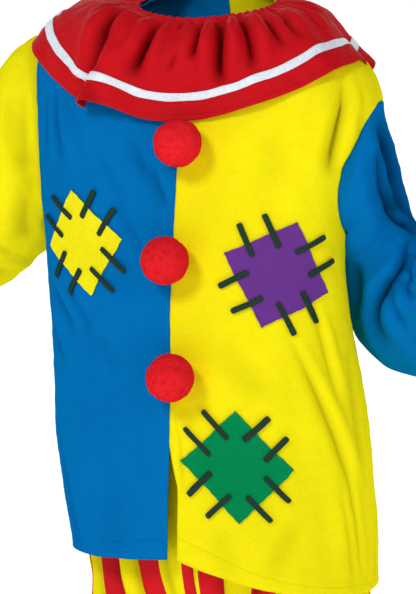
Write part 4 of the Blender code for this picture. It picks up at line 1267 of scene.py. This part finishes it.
tunic()
sleeve("left", LEFT, cotton_blue)
sleeve("right", RIGHT, cotton_yellow)
collar()
for count, node in enumerate(sorted(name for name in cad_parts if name.startswith("pompom"))):
    pompom(node, 20 + 5 * count)
for count, row in enumerate(PATCHES):
    patch(row, FELT_COLOURS[count], 40 + count)
trouser_leg("left", LEFT)
trouser_leg("right", RIGHT)
waistband()

# ---- Camera, light and floor -----------------------------------------------------------------

VIEW_AZIMUTH, VIEW_ELEVATION = math.radians(20), math.radians(5)
VIEW_TARGET, VIEW_DISTANCE = Vector((0, 0, -0.2937)), 2.6
VIEW_ANGLE = math.radians(14.31)
KEY_AZIMUTH, KEY_ELEVATION = math.radians(-12), math.radians(33)
KEY_DISTANCE, KEY_SIZE, KEY_POWER = 2.4, 0.6, 22.0
FILL_AZIMUTH, FILL_ELEVATION = math.radians(55), math.radians(18)
FILL_DISTANCE, FILL_SIZE, FILL_POWER = 2.6, 1.8, 14.0
WORLD_STRENGTH = 0.25
FLOOR_HEIGHT = -0.987


def direction(azimuth, elevation):
    """The way towards a place that is azimuth to the wearer's left of the front, and raised."""
    across = math.cos(elevation)
    return Vector((math.sin(azimuth) * across, -math.cos(azimuth) * across, math.sin(elevation)))


def aim(thing, place, target):
    """Puts a camera or a light in the scene, looking at the target."""
    thing.location = place
    thing.rotation_euler = (place - target).to_track_quat("Z", "Y").to_euler()
    bpy.context.scene.collection.objects.link(thing)


FLOOR_BEFORE, FLOOR_BEHIND, WALL_BEND, WALL_TALL, WALL_REACH = 8.0, 5.0, 2.0, 9.0, 16.0
BEND_STEPS = 13
PAPER, PAPER_ROUGH, PAPER_GLOW = (0.95, 0.95, 0.95, 1), 0.9, 0.66
LIGHT_WHITE = (1, 1, 1, 1)


def backdrop():
    """A pale floor that curves up into a wall behind the costume."""
    profile = [(-FLOOR_BEFORE, 0.0), (FLOOR_BEHIND, 0.0)]
    for bend in np.linspace(0, math.pi / 2, BEND_STEPS)[1:]:
        profile.append((FLOOR_BEHIND + WALL_BEND * math.sin(bend), WALL_BEND * (1 - math.cos(bend))))
    profile.append((FLOOR_BEHIND + WALL_BEND, WALL_TALL))
    points = [(x, y, FLOOR_HEIGHT + z) for y, z in profile for x in (-WALL_REACH, WALL_REACH)]
    faces = [(2 * k, 2 * k + 1, 2 * k + 3, 2 * k + 2) for k in range(len(profile) - 1)]
    paper = bpy.data.materials.new("paper")
    paper.use_nodes = True
    surface = paper.node_tree.nodes["Principled BSDF"]
    surface.inputs["Base Color"].default_value = PAPER
    surface.inputs["Roughness"].default_value = PAPER_ROUGH
    surface.inputs["Emission Color"].default_value = LIGHT_WHITE
    surface.inputs["Emission Strength"].default_value = PAPER_GLOW
    floor = linked("backdrop", points, faces)
    floor.data.materials.append(paper)
    floor.rotation_euler = (0, 0, VIEW_AZIMUTH)


def studio():
    """The camera of the photo, a small key light high in front, and a broad, low fill light."""
    scene = bpy.context.scene
    camera = bpy.data.objects.new("camera", bpy.data.cameras.new("camera"))
    camera.data.sensor_fit = "VERTICAL"
    camera.data.angle_y = VIEW_ANGLE
    aim(camera, VIEW_TARGET + direction(VIEW_AZIMUTH, VIEW_ELEVATION) * VIEW_DISTANCE, VIEW_TARGET)
    scene.camera = camera
    for name, azimuth, elevation, distance, size, power in (
        ("key", KEY_AZIMUTH, KEY_ELEVATION, KEY_DISTANCE, KEY_SIZE, KEY_POWER),
        ("fill", FILL_AZIMUTH, FILL_ELEVATION, FILL_DISTANCE, FILL_SIZE, FILL_POWER),
    ):
        light = bpy.data.objects.new(name, bpy.data.lights.new(name, "AREA"))
        light.data.shape, light.data.size, light.data.energy = "DISK", size, power
        aim(light, VIEW_TARGET + direction(azimuth, elevation) * distance, VIEW_TARGET)
    scene.world = bpy.data.worlds.new("studio")
    scene.world.use_nodes = True
    sky = scene.world.node_tree.nodes["Background"]
    sky.inputs["Color"].default_value = LIGHT_WHITE
    sky.inputs["Strength"].default_value = WORLD_STRENGTH
    scene.view_settings.view_transform = "Standard"


backdrop()
studio()
